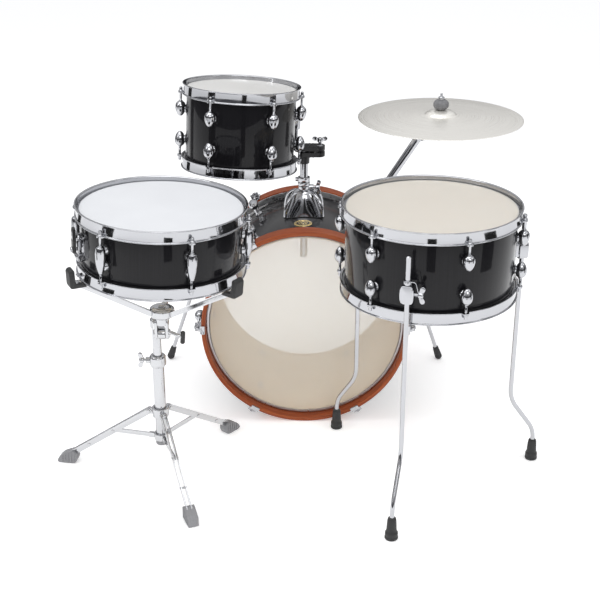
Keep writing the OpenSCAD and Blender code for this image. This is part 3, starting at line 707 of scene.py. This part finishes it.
def bass_top(x):
    """The height in mm of the bass shell's top at a place across it in metres."""
    return BASS.mid.z / MM + math.sqrt(BASS.r ** 2 - ((x - BASS.mid.x) / MM) ** 2)


def dome(half_x, half_y, top, post, flat=False):
    """A base on the bass shell: a flat pad, or a dome that rises to the sleeve."""
    verts, faces = [], []
    levels, segs = (2, 64) if flat else (14, 64)
    for i in range(levels + 1):
        t = i / levels
        for k in range(segs):
            a = 2 * math.pi * k / segs
            c, s = math.cos(a), math.sin(a)
            square = (abs(c) ** 5 + abs(s) ** 5) ** (-1 / 5)
            if flat:
                x, y = c * square * half_x, s * square * half_y
            else:
                mix = math.sin(t * math.pi / 2)
                wide = (1 - t) ** 0.5
                x = c * (square * (1 - mix) + mix) * (15 + (half_x - 17) * wide)
                y = s * (square * (1 - mix) + mix) * (15 + (half_y - 17) * wide)
            ground = bass_top(x * MM + post.x)
            z = ground + 0.2 + (1.8 * t if flat else t * (top - ground))
            verts.append((x + post.x / MM, y + post.y / MM, z))
    for i in range(levels):
        for k in range(segs):
            m = (k + 1) % segs
            faces.append([i * segs + k, i * segs + m, (i + 1) * segs + m, (i + 1) * segs + k])
    faces.append(list(range(segs))[::-1])
    faces.append([levels * segs + k for k in range(segs)])
    uvs = [[(verts[v][0] * MM, verts[v][2] * MM) for v in f] for f in faces]
    return np.array(verts), faces, uvs


def spurs():
    brackets = Piece("spur_brackets", "root", "chrome", CHROME, RUBBER)
    for side in ("left", "right"):
        pivot, axis = joint_pos(f"spur_{side}_fold"), joint_axis(f"spur_{side}_fold")
        foot = end_point(f"spur_{side}", True)
        leg = Piece(f"spur_{side}", f"spur_{side}", "chrome", CHROME, RUBBER)
        turned = basis(pivot, axis, Y)
        leg.add(pipe(4.2, 11, -8.4, 8.8, 1.6, 40), turned)
        run = foot - pivot
        length = run.length / MM
        rod = basis(pivot, run, Y)
        leg.add(sweep([(0, 0, 6), (0, 0, length - 22)], 5, 28), rod)
        tip = ((0, 1), (5, 1), (9.5, 7), (9.8, 12), (8.6, 13), (9.6, 16), (8.4, 18), (9.2, 21), (7, 42),
               (5, 44), (0, 44))
        leg.add(spun([(x, length - z) for x, z in tip], 1, 32, 3), rod, 1)
        leg.done()
        out = BASS.seat(pivot)
        brackets.add(pipe(0, 10.8, -54, -9, 1.6, 40, 3), turned)
        cap = [(0, 12), (5.5, 12), (6.5, 9.3), (3.8, 9.3), (3.8, -9), (0, -9)]
        brackets.add(spun(cap, 0.6, 28, 3), turned)
        brackets.add(rbox(44, 5, 38, 2.2), out @ shift(0, 1.6, 0))
        brackets.add(rbox(46, 2, 40, 0.8), out @ shift(0, -0.2, 0), 1)
    brackets.done()


# ---- Rack tom ----
def rack_tom():
    # The rack tom's heads use the film with painted light in its whiter colour.
    make_tom(TOM, "tom", "rack_tom", PAINTED_LIGHT_FILM)
    ball = joint_pos("tom_tilt")
    inward = -joint_axis("tom_tilt")
    if inward.dot(TOM.mid - ball) < 0:
        inward = -inward
    local = basis(ball, TOM.axis, inward)
    rel = ball - TOM.mid
    rod_x = (rel - rel.dot(TOM.axis) * TOM.axis).length / MM - TOM.r - 11
    rod_top, grip = 93, 68
    rod = Piece("l_rod", "rack_tom", "chrome", CHROME)
    rod.add(lathe([(10 * math.sin(math.pi * k / 24), 10 * math.cos(math.pi * k / 24)) if 0 < k < 24
                   else (0, 10 if k == 0 else -10) for k in range(25)], 40), local)
    bend = rounded([(5, 0, 0), (rod_x, 0, 0), (rod_x, 0, rod_top)], 9, 8, False)
    rod.add(sweep(bend, 4.75, 28), local)
    rod.done()
    bracket = Piece("tom_bracket", "rack_tom", "chrome", CHROME, RUBBER)
    bracket.add(rbox(14, 26, 34, 4, 4), local @ shift(rod_x + 5, 0, grip))
    bracket.add(rbox(2, 30, 40, 0.8), local @ shift(rod_x + 11.6, 0, grip), 1)
    bracket.add(pipe(4.9, 9, grip - 16, grip + 16, 1.8, 36), local @ shift(rod_x, 0, 0))
    screw = local @ shift(rod_x, -12, grip + 1) @ turn(90, "X")
    bracket.add(spun([(0, 11), (4.6, 11), (4.6, 3), (6.4, 2), (6.4, 0), (0, 0)], 0.8, 28, 3), screw)
    bracket.done()
    clamp(ball)


def clamp(ball):
    """The black two-jaw clamp over the ball, with its through bolt and wing."""
    at = Matrix.Translation(ball)
    piece = Piece("ball_clamp", "ball_clamp", "black_plastic", PLASTIC, CHROME)
    outline = rounded([(-12, -13), (-6, -17), (40, -17), (50, -11), (50, 11), (40, 17), (-6, 17),
                       (-12, 13)], 5, 5)
    jaw = slab(outline, 10, 2, 3)
    for z in (-7.5, 7.5):
        piece.add(jaw, at @ shift(0, 0, z))
    for x in (-4, 14, 22):
        piece.add(rbox(2.5, 32, 13.4, 1), at @ shift(x, 0, 7.5)).add(rbox(2.5, 32, 13.4, 1),
                                                                    at @ shift(x, 0, -7.5))
    piece.add(rbox(9, 33, 12, 1.5), at @ shift(28, 0, 0))
    piece.add(pipe(9.6, 13.4, -31, -12, 1.6, 40), at)
    bolt = [(0, 28), (3.9, 28), (3.9, 13.2), (7.4, 13), (7.4, 11.8), (0, 11.8)]
    piece.add(spun(bolt, 0.5, 28, 2), at @ shift(38), 1)
    piece.add(pipe(0, 6.5, -12.6, -16, 0.7, 6, 2), at @ shift(38), 1)
    add_wing(piece, at @ shift(38, 0, 20), 0, 1)
    piece.done()


# ---- Cymbal ----
def cymbal_set():
    tip, way = joint_pos("cymbal_tilt"), joint_axis("cymbal_arm_slide")
    arm = basis(tip, way, X)
    low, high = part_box("cymbal")
    centre = (low + high) / 2
    radius = (high.x - low.x) / 2 / MM
    stud = upright(centre)
    shell_r = BASS.r - 0.5
    rel = tip - BASS.mid
    rel.y = 0
    # How far down the arm the bass shell's surface is
    along = rel.dot(way)
    off = (rel - along * way).length
    surface = -(along - math.sqrt((shell_r * MM) ** 2 - off ** 2)) / MM
    base = Piece("cymbal_holder_base", "root", "chrome", CHROME, RUBBER)
    sleeve = [(9.7, surface - 4), (19, surface - 4), (17, surface + 6), (14.6, surface + 16),
              (14.6, surface + 46), (9.7, surface + 46)]
    base.add(spun(sleeve, 2.2, 48), arm)
    under = tip + way * surface * MM
    seat = BASS.seat(under)
    base.add(rbox(40, 5, 33, 2.2), seat @ shift(0, 1.6, 0))
    base.add(rbox(42, 2, 34, 0.8), seat @ shift(0, -0.2, 0), 1)
    wing_at = joint_pos("arm_wing_turn")
    rise = (wing_at - tip).dot(way) / MM
    base.add(boss(22), arm @ shift(0, 0, rise) @ turn(90, "Y"))
    base.done()
    make_wing_bolt("arm_wing_bolt", "chrome", CHROME, arm @ shift(25.5, 0, rise) @ turn(90, "Y"), 15)
    tube = Piece("cymbal_arm", "cymbal_arm", "chrome", CHROME)
    arm_length = 364
    tube.add(pipe(7.5, 9.5, -arm_length, -9, 0.6, 48), arm)
    tube.add(pipe(5.1, 12.8, -10, 10, 1.4, 40),
             arm @ turn(90, "X"))
    tube.done()
    tilter = Piece("cymbal_tilter", "cymbal_tilter", "chrome", CHROME, PLASTIC)
    span = (centre.x - tip.x) / MM
    for y in (-13, 13):
        tilter.add(slab(rounded([(-11, -7), (-11, 7), (-5, 12), (8, 8), (span + 8, 6), (span + 8, -7),
                                 (8, -8), (-5, -12)], 5), 4.6, 1, 2),
                   Matrix.Translation(tip) @ shift(0, y) @ turn(90, "X"))
    tilter.add(pipe(0, 4.9, 17, -17, 0.8, 28, 2),
               Matrix.Translation(tip) @ turn(90, "X"))
    step = (centre.y - tip.y) / MM
    block = Matrix.Translation((centre.x, tip.y, tip.z))
    tilter.add(rbox(32, step + 28, 16, 3), block @ shift(0, (step - 4) / 2, 0.5))
    cup, tip_z = centre.z / MM - 12, heights("cymbal_tilter")[1]
    pole = [(0, tip_z), (2.2, tip_z), (3, tip_z - 1), (3, tip_z - 7.6), (4, tip_z - 8.4), (4, cup + 7.5),
            (13.6, cup + 7), (13.6, cup + 4), (8, cup + 1), (8, tip.z / MM), (0, tip.z / MM)]
    tilter.add(spun(pole, 0.8, 32, 3), stud)
    tilter.done()
    plate(centre, high, low, radius)
    felts(stud)


def plate(centre, high, low, radius):
    """The cymbal: a shallow bow, a raised bell and a rounded edge."""
    rise, bell, bow, thick = (high.z - low.z) / MM - 1.2, 38, 9, 1.1
    top = []
    for k in range(61):
        r = 6 + (radius - 6) * k / 60
        if r > bell:
            z = bow * (radius - r) / (radius - bell) * (1 + 0.3 * (r - bell) / radius)
        else:
            z = bow + (rise - bow) * math.sqrt(max(0, 1 - (r / bell) ** 2)) ** 1.05
        top.append((r, z))
    under = [(r, z - thick) for r, z in reversed(top)]
    place = Matrix.Translation((centre.x, centre.y, low.z)) @ shift(0, 0, 1.2)
    Piece("cymbal", "cymbal", "cymbal_bronze", BRONZE).add(
        spun(top + under, 0.25, 192, 1), place).done(sharp=60)


def felts(stud):
    pair = Piece("cymbal_felts", "cymbal_felts", "felt", FELT)
    boxes = sorted(islands("cymbal_felts"), key=lambda g: g[:, 2].mean())
    for group, reach in zip(boxes, (9, 19)):
        low, high = group[:, 2].min() / MM, group[:, 2].max() / MM
        cut = min(7, (high - low) / 3)
        outline = [(4.2, low), (reach - cut, low), (reach, low + cut), (reach, high - cut),
                   (reach - cut, high), (4.2, high)]
        pair.add(spun(outline, [0.5, 3, 3, 3, 3, 0.5], 56), stud)
    pair.done()
    low, high = heights("cymbal_nut")
    nut = Piece("cymbal_nut", "cymbal_nut", "chrome", CHROME)
    ring = [(4.2, low), (7.8, low), (7.8, high - 1.5), (6, high), (4.2, high)]
    nut.add(spun(ring, 0.7, 24), stud)
    nut.done()


# ---- Floor tom ----
def floor_tom():
    make_tom(FLOOR, "floor_tom", "root", HAZY)
    brackets = Piece("floor_leg_brackets", "root", "chrome", CHROME, RUBBER)
    z = FLOOR.mid.z / MM - 23
    for side in ("front", "right", "left"):
        node = f"floor_leg_{side}"
        top, foot = end_point(node, False), end_point(node, True)
        out = Vector((top.x - FLOOR.mid.x, top.y - FLOOR.mid.y, 0))
        reach = out.length / MM
        at = basis(Vector((FLOOR.mid.x, FLOOR.mid.y, 0)), Z, out.cross(Z))
        kick = Vector((foot.x - FLOOR.mid.x, foot.y - FLOOR.mid.y, 0)).length / MM
        leg = Piece(node, node, "chrome", CHROME, RUBBER, STEEL)
        path = rounded([(0, reach, top.z / MM), (0, reach, 163), (0, kick, 76), (0, kick, 30)],
                       [0, 26, 26, 0], 8, False)
        leg.add(sweep(path, 5, 28, 2.2), at)
        rubber = [(0, 0), (12.6, 0), (14, 1.6), (14, 6), (12.6, 8), (13.6, 10), (13.4, 16), (11, 19),
                  (9.6, 44), (8.2, 50), (5, 51), (0, 51)]
        leg.add(spun(rubber, 1.1, 40, 3), at @ shift(0, kick, 0), 1)
        lock = [(5, z + 19.6), (7.8, z + 19.6), (8.8, z + 24), (8.2, z + 29), (5, z + 29)]
        leg.add(spun(lock, 1, 28), at @ shift(0, reach, 0))
        leg.done()
        bracket = at @ shift(0, reach - 1, z)
        outline = rounded([(-13, -14), (-9, -19), (9, -19), (13, -14), (14, 0), (13, 14), (9, 19),
                           (-9, 19), (-13, 14), (-14, 0)], 4, 3)
        brackets.add(slab(outline, 19, 3.4, 4), bracket @ turn(90, "X"))
        foot_at = at @ shift(0, FLOOR.r, z)
        gap = reach - FLOOR.r
        brackets.add(rbox(20, gap - 4, 30, 2.5), foot_at @ shift(0, gap / 2 - 3))
        brackets.add(rbox(25, 2, 37, 0.8), foot_at @ shift(0, 0.4), 1)
        add_wing(brackets, bracket @ shift(-21) @ turn(-90, "Y"), 14)
        wire = rounded([(-6, 5, 27), (-17, 5, 27), (-20, 5, 14), (-22, 3, 5)], 8, 6, False)
        brackets.add(sweep(wire, 0.9, 10, 0.2), bracket)
    brackets.done()


# ---- Snare drum ----
def snare_drum():
    make_shell(SNARE, "snare_shell", "snare")
    make_heads(SNARE, "snare_batter_head", "snare", "coated_head", COATED, 1)
    make_heads(SNARE, "snare_bottom_head", "snare", "clear_head", CLEAR, -1)
    lugs = spots("snare_lugs")
    make_hoops(SNARE, "snare_hoops", "snare", lugs)
    make_rods(SNARE, "snare_tension_rods", "snare", 32)
    piece = Piece("snare_lugs", "snare", "chrome", CHROME, RUBBER)
    barrel = [(0, 29), (4.6, 29), (5, 26.5), (8.6, 25.5), (10.4, 16), (10.4, 2), (9.2, -12), (6.2, -24),
              (5, -26.5), (4.6, -29), (0, -29)]
    body = spun(barrel, 2.2, 40)
    foot = spun([(0, 9), (7.5, 8.5), (9.6, 4), (10.6, 0.8), (0, 0.8)], 2.6, 36)
    pad = pipe(0, 11.2, 0.9, -0.4, 0.4, 36, 2)
    for lug in lugs:
        seat = SNARE.seat(lug, 1)
        piece.add(body, seat @ shift(0, ROD_OFF, 0))
        for z in (-17, 17):
            piece.add(foot, seat @ shift(0, 0, z) @ turn(-90, "X"))
            piece.add(pad, seat @ shift(0, 0, z) @ turn(-90, "X"), 1)
    piece.done()
    throw_off()
    snare_wires()


def throw_off():
    lever_at = joint_pos("strainer_throw")
    piece = Piece("snare_strainer", "snare", "chrome", CHROME, PLASTIC)
    for spot in spots("snare_strainer"):
        lever_side = (spot - lever_at).length < 0.06
        seat = SNARE.seat(spot, 1)
        tall = 56 if lever_side else 40
        deep = 12 if lever_side else 10
        outline = rounded([(-11, -tall / 2), (11, -tall / 2), (13.5, -tall / 4), (13.5, tall / 3),
                           (9, tall / 2), (-9, tall / 2), (-13.5, tall / 3), (-13.5, -tall / 4)], 4, 4)
        piece.add(slab(outline, deep, 2.4, 3), seat @ shift(0, deep / 2, 0) @ turn(90, "X"))
        for x in (-7, 7):
            screw = [(0, 3.2), (2.6, 3.2), (3.4, 1.4), (3.4, 0), (0, 0)]
            piece.add(spun(screw, 0.5, 20, 2),
                      seat @ shift(x, deep, tall / 2 - 9) @ turn(-90, "X"))
        clampbar = rbox(24, 5, 9, 1.5)
        piece.add(clampbar, seat @ shift(0, deep + 1, -tall / 2 + 8))
    axle = basis(lever_at, joint_axis("strainer_throw"), Z)
    piece.add(spun([(0, 11), (5.6, 11), (6, 7.4), (3.8, 7.2), (3.8, -2), (0, -2)], 0.8, 28, 3), axle)
    piece.done()
    lever = Piece("strainer_lever", "strainer_lever", "black_plastic", PLASTIC, CHROME)
    outline = rounded([(-8, -7), (-8, 7), (20, 7.6), (46, 5), (46, -5), (20, -7.6)], 4.5, 4)
    lever.add(slab(outline, 6, 1.8, 3), axle @ shift(0, 0, 3.6))
    lever.add(rbox(16, 8, 1.2, 0.4), axle @ shift(30, 0, 6.6), 1)
    lever.done()


def snare_wires():
    """Nineteen coiled wires between two end plates, under the lower head."""
    along = SNARE.seat(joint_pos("strainer_throw"), 1)
    out = Vector(along.col[1][:3])
    low = SNARE.frame(-1)
    place = basis(Vector(low.translation), SNARE.axis, out)
    piece = Piece("snare_wires", "snare_wires", "chrome", STEEL, CHROME)
    z = -2.2
    for k in range(-9, 10):
        y = k * 2.2
        path = [(-130 + 1.3 * i, y + 0.35 * math.cos(i * 1.57), z + 0.35 * math.sin(i * 1.57))
                for i in range(201)]
        piece.add(sweep(path, 0.42, 5, 0), place)
    for side in (-1, 1):
        piece.add(rbox(16, 44, 1, 0.3), place @ shift(side * 136, 0, z), 1)
        piece.add(rbox(38, 18, 0.6, 0.2), place @ shift(side * 160, 0, z), 1)
    piece.done()


# ---- Snare stand ----
def stand():
    low, top = heights("stand_base_tube")
    brace = [joint_pos(f"brace_{i}_fold") for i in (1, 2, 3)]
    axis = sum(brace, Vector()) / 3
    at = upright(axis)
    lower = axis.z / MM
    wing = joint_pos("stand_wing_turn").z / MM
    base = Piece("stand_base_tube", "root", "stand_chrome", STAND, GREY_RUBBER)
    tube = [(0, low), (12.7, low), (12.7, top), (9.7, top), (9.7, low + 6), (0, low + 6)]
    base.add(spun(tube, 0.6, 48, 2), at)
    sleeve = [(12, top - 27), (16, top - 27), (18, top - 22), (18, top - 4), (15, top), (9.8, top),
              (9.8, top - 6)]
    base.add(spun(sleeve, 1.6, 48), at)
    base.add(boss(26), at @ shift(0, 0, wing) @ turn(-90, "Y"))
    ring = [(12.6, lower - 8), (16.5, lower - 8), (17, lower + 8), (12.6, lower + 8)]
    base.add(spun(ring, 1.6, 48), at)
    cap = [(0, low - 0.5), (13.6, low - 0.5), (13.6, low + 9), (12.5, low + 9), (12.5, low + 0.5),
           (0, low + 0.5)]
    base.add(spun(cap, 0.6, 40, 3), at, 1)
    fold = []
    for i in (1, 2, 3):
        pivot = joint_pos(f"brace_{i}_fold")
        out = Vector((pivot.x - axis.x, pivot.y - axis.y, 0)).normalized()
        fold.append(out)
        ear = basis(pivot, Z.cross(out), out)
        tab = slab(rounded([(-12, -6), (4, -6), (4, 6), (-12, 6)], 3), 1.4, 0.3)
        for s in (-2.5, 2.5):
            base.add(tab, ear @ shift(0, 0, s))
    base.done()
    make_wing_bolt("stand_wing_bolt", "stand_chrome", STAND,
                   at @ shift(-29.5, 0, wing) @ turn(-90, "Y"), 18)
    collar = Piece("tripod_collar", "tripod_collar", "stand_chrome", STAND)
    leg_z = joint_pos("leg_1_fold").z / MM
    outline = [(12.9, leg_z - 11), (18.4, leg_z - 11), (19, leg_z + 11), (12.9, leg_z + 11)]
    collar.add(spun(outline, 2, 48), at)
    for i, out in enumerate(fold, 1):
        pivot = joint_pos(f"leg_{i}_fold")
        hinge = basis(pivot, Z.cross(out), out)
        collar.add(slab(rounded([(-10, -7), (5, -7), (7, 0), (5, 7), (-10, 7)], 3), 7, 0.8), hinge)
        pin = [(0, 8.2), (3.8, 8.2), (4.6, 6.4), (2.9, 6.4), (2.9, -6.4), (4.6, -6.4), (3.8, -8.2),
               (0, -8.2)]
        collar.add(spun(pin, 0.5, 24, 2), hinge)
    collar.done()
    for i, out in enumerate(fold, 1):
        tripod_leg(i, out)
    head_of_stand(at)


def tripod_leg(i, out):
    """A leg of two strips with a ribbed rubber foot, and the brace between them."""
    pivot, foot = joint_pos(f"leg_{i}_fold"), end_point(f"stand_leg_{i}", True)
    side = Z.cross(out)
    end = Vector((foot.x, foot.y, 0.014)) + out * 4 * MM
    run = end - pivot
    length = run.length / MM
    place = basis(pivot, side, run)
    leg = Piece(f"stand_leg_{i}", f"stand_leg_{i}", "stand_chrome", STAND, GREY_RUBBER)
    strip = slab(rounded([(-6.5, -6.5), (length - 12, -6.5), (length - 12, 6.5), (-6.5, 6.5)],
                         [6, 1, 1, 6], 6), 2, 0.6)
    for s in (-5, 5):
        leg.add(strip, place @ shift(0, 0, s))
    rivet = spun([(0, 7.8), (2.4, 7.8), (3.8, 6.1), (0, 6.1)], 0.6, 24, 3)
    # How far down the leg the brace is pinned
    reach = 103.7
    for x in (reach, length * 0.72):
        for flip in (0, 180):
            leg.add(rivet, place @ shift(x) @ turn(flip, "X"))
    pin = lathe([(0, 4.2), (2.4, 4.2), (2.4, -4.2), (0, -4.2)], 16)
    leg.add(pin, place @ shift(length * 0.72))
    ground = basis(Vector((foot.x, foot.y, 0)), out.cross(Z), out)
    shoe = rounded([(-24, 15), (-20, 28), (-10, 30), (12, 21), (24, 9), (24, 1), (16, 0), (-18, 0)],
                   [4, 4, 6, 5, 4, 2, 3, 5], 4)
    leg.add(slab(shoe, 22, 3.2, 4), ground, 1)
    for x, tall in ((-15, 29.5), (-8, 29), (-1, 26), (6, 23), (13, 19)):
        rib = rounded([(x - 1.7, 3), (x + 1.7, 3), (x + 1.7, tall - 1), (x - 1.7, tall + 1)], 0.8, 3)
        leg.add(slab(rib, 26, 1, 2), ground, 1)
    leg.done()
    pivot = joint_pos(f"brace_{i}_fold")
    tip = joint_pos(f"leg_{i}_fold") + run.normalized() * reach * MM
    brace = Piece(f"stand_brace_{i}", f"stand_brace_{i}", "stand_chrome", STAND)
    run = tip - pivot
    length = run.length / MM
    place = basis(pivot, side, run)
    brace.add(slab(rounded([(-4, -5), (length + 5, -5), (length + 5, 5), (-4, 5)], 4.6, 5), 2.8, 0.7),
              place)
    brace.done()


def head_of_stand(at):
    """The height post, the tilter, and the three-armed basket with its rubber grips."""
    tilt = joint_pos("basket_tilt")
    z = tilt.z / MM
    low = heights("stand_post")[0]
    post = Piece("stand_post", "stand_post", "stand_chrome", STAND, GREY_RUBBER)
    post.add(pipe(0, 9.5, low, z - 8, 0.8, 40, 2), at)
    knob = [(0, z - 13), (11, z - 13), (13, z - 9), (13, z + 8), (9, z + 12), (0, z + 12)]
    post.add(spun(knob, 2, 40, 3), at)
    gap = Vector((tilt.x, tilt.y, 0)) - at.translation
    across = basis(at.translation, Z, gap)
    length = gap.length / MM
    arm = slab(rounded([(0, -11), (length, -8), (length, 8), (0, 11)], 5), 17, 3, 3)
    post.add(arm, across @ shift(0, 0, z))
    hinge = basis(tilt, X, Z)
    post.add(pipe(0, 12, 8, -8, 1.5, 40, 3), hinge)
    post.add(pipe(0, 4.9, 15, -15, 0.8, 24, 2), hinge)
    post.done()
    axis = SNARE.axis
    hub_at = basis(tilt, axis, X)
    hub = Piece("basket_hub", "basket", "stand_chrome", STAND, PLASTIC)
    for s in (-11.5, 11.5):
        cheek = slab(rounded([(-10, -11), (34, -12), (34, 12), (-10, 11)], 6, 4), 5.6, 1.4)
        hub.add(cheek, hinge @ shift(0, 0, s))
        hub.add(spun([(0, 3.4), (9, 3.4), (10, 0), (0, 0)], 1, 32, 3),
                hinge @ turn(0 if s > 0 else 180, "X") @ shift(0, 0, 14))
    crown = [(0, 62), (20, 62), (26, 58), (26, 44), (22, 40), (15, 38), (15, 22), (0, 22)]
    hub.add(spun(crown, 2.4, 56), hub_at)
    hub.add(spun([(0, 66), (7, 66), (8, 62), (0, 62)], 1, 28, 3), hub_at)
    # The T-shaped tightening handle
    hub.add(sweep(rounded([(14, -8, 8), (30, -14, 4), (46, -16, -2)], 8, 5, False), 4, 18),
            Matrix.Translation(tilt))
    hub.add(sweep([(44, -16, -16), (45, -16, -4), (46, -16, 12)], 5, 18, 2), Matrix.Translation(tilt), 1)
    hub.done()
    arms = Piece("basket_arms", "basket", "stand_chrome", STAND, RUBBER)
    lower = SNARE.frame(-1)
    rim = (Vector(lower.translation) - tilt).dot(axis) / MM - RIM_ABOVE
    reach = SNARE.r + 18
    bar = slab(rounded([(24, 47), (30, 47), (reach + 2, rim - 9), (reach + 2, rim - 2),
                        (reach - 8, rim - 2), (24, 56), (18, 56)], 3, 4), 11, 1.6, 3)
    grip = slab(rounded([(reach - 20, rim - 11), (reach + 15, rim - 12), (reach + 17, rim + 24),
                         (reach + 6, rim + 28), (reach + 4, rim - 4), (reach - 16, rim - 4)],
                        [3, 5, 4, 4, 2, 3], 4), 25, 3, 4)
    for spot in spots("basket_arms"):
        rel = spot - tilt
        out = (rel - rel.dot(axis) * axis).normalized()
        place = basis(tilt, axis, out) @ turn(90, "X")
        arms.add(bar, place).add(grip, place, 1)
    arms.done()


# ---- Camera, floor and light ----
def camera():
    data = bpy.data.cameras.new("camera")
    obj = bpy.data.objects.new("camera", data)
    bpy.context.collection.objects.link(obj)
    obj.location = (0.0093, -2.5018, 1.4195)
    pitch, yaw = 23.7, 0.12
    obj.rotation_euler = (math.radians(90 - pitch), 0, math.radians(yaw))
    data.sensor_width = 36
    data.lens = 69.9
    bpy.context.scene.camera = obj


def area_light(name, location, target, size, power):
    data = bpy.data.lights.new(name, "AREA")
    data.shape = "RECTANGLE"
    data.size, data.size_y = size
    data.energy = power
    obj = bpy.data.objects.new(name, data)
    bpy.context.collection.objects.link(obj)
    obj.location = location
    obj.rotation_euler = (Vector(target) - Vector(location)).to_track_quat("-Z", "Y").to_euler()


def sky():
    """A bright ceiling over a dark studio wall, which gives the chrome its contrast."""
    world = bpy.data.worlds.new("studio")
    world.use_nodes = True
    nodes, links = world.node_tree.nodes, world.node_tree.links
    coords, split = nodes.new("ShaderNodeTexCoord"), nodes.new("ShaderNodeSeparateXYZ")
    height = nodes.new("ShaderNodeValToRGB")
    stops = height.color_ramp.elements
    stops[0].position, stops[0].color = 0.0, (0.1, 0.1, 0.11, 1)
    stops[1].position, stops[1].color = 1.0, (0.85, 0.86, 0.88, 1)
    for place, tone in ((0.16, 0.16), (0.3, 0.55)):
        stops.new(place).color = (tone, tone, tone * 1.02, 1)
    links.new(coords.outputs["Generated"], split.inputs["Vector"])
    links.new(split.outputs["Z"], height.inputs["Fac"])
    links.new(height.outputs["Color"], nodes["Background"].inputs["Color"])
    bpy.context.scene.world = world


def stage_mesh(name, verts, faces, mat):
    mesh = bpy.data.meshes.new(name)
    mesh.from_pydata(verts, [], faces)
    mesh.materials.append(mat)
    obj = bpy.data.objects.new(name, mesh)
    bpy.context.collection.objects.link(obj)
    return obj


def flag(name, azimuth, distance, width, mat, height=1.5):
    """A black card hidden from the camera, seen only in reflections."""
    a = math.radians(azimuth)
    out, side = Vector((math.sin(a), -math.cos(a), 0)), Vector((math.cos(a), math.sin(a), 0))
    low = [out * distance + side * width * s for s in (-0.5, 0.5)]
    card = stage_mesh(name, low + [low[1] + Z * height, low[0] + Z * height], [(0, 1, 2, 3)], mat)
    card.visible_camera = card.visible_diffuse = card.visible_shadow = False


def backdrop(far, height=9, sides=48):
    """A pale wall round the stage, seen by the camera and left out of the reflections."""
    white, _ = shader("backdrop", (0, 0, 0), 1.0, Emission_Color=(1, 1, 1, 1), Emission_Strength=1.0)
    angles = [2 * math.pi * k / sides for k in range(sides)]
    verts = [(far * 0.9 * math.cos(a), far * 0.9 * math.sin(a), z) for z in (0, height) for a in angles]
    faces = [(k, (k + 1) % sides, sides + (k + 1) % sides, sides + k) for k in range(sides)]
    wall = stage_mesh("backdrop", verts, faces, white)
    wall.visible_diffuse = wall.visible_glossy = wall.visible_shadow = wall.visible_transmission = False


def studio():
    sky()
    bpy.context.scene.view_settings.view_transform = "Standard"
    area_light("top", (-0.4, -0.5, 2.9), (0, 0, 0.3), (2.6, 2.2), 32)
    area_light("left", (-2.6, -1.3, 1.7), (0, 0, 0.4), (0.6, 2.2), 14)
    area_light("right", (2.6, -1.1, 1.7), (0, 0, 0.4), (0.6, 2.2), 9)
    area_light("front", (0.5, -3.4, 2.6), (0, 0, 0.4), (2.2, 1.0), 18)
    paper, _ = shader("floor", (0.95, 0.95, 0.95), 0.8, Emission_Color=(1, 1, 1, 1),
                      Emission_Strength=0.32)
    far = 11
    corners = [(-far, -far, 0), (far, -far, 0), (far, far, 0), (-far, far, 0)]
    stage_mesh("floor", corners, [(0, 1, 2, 3)], paper)
    backdrop(far)
    black, _ = shader("flag", (0.01, 0.01, 0.01), 0.9)
    cards = ((4, 2.0, 0.34), (-62, 1.9, 0.5), (66, 1.9, 0.5), (-118, 1.9, 0.4), (121, 1.9, 0.4),
             (180, 1.9, 0.4))
    for i, (azimuth, distance, width) in enumerate(cards):
        flag(f"flag_{i}", azimuth, distance, width, black)


camera()
studio()
bass_drum()
badge()
tom_holder()
spurs()
rack_tom()
cymbal_set()
floor_tom()
snare_drum()
stand()
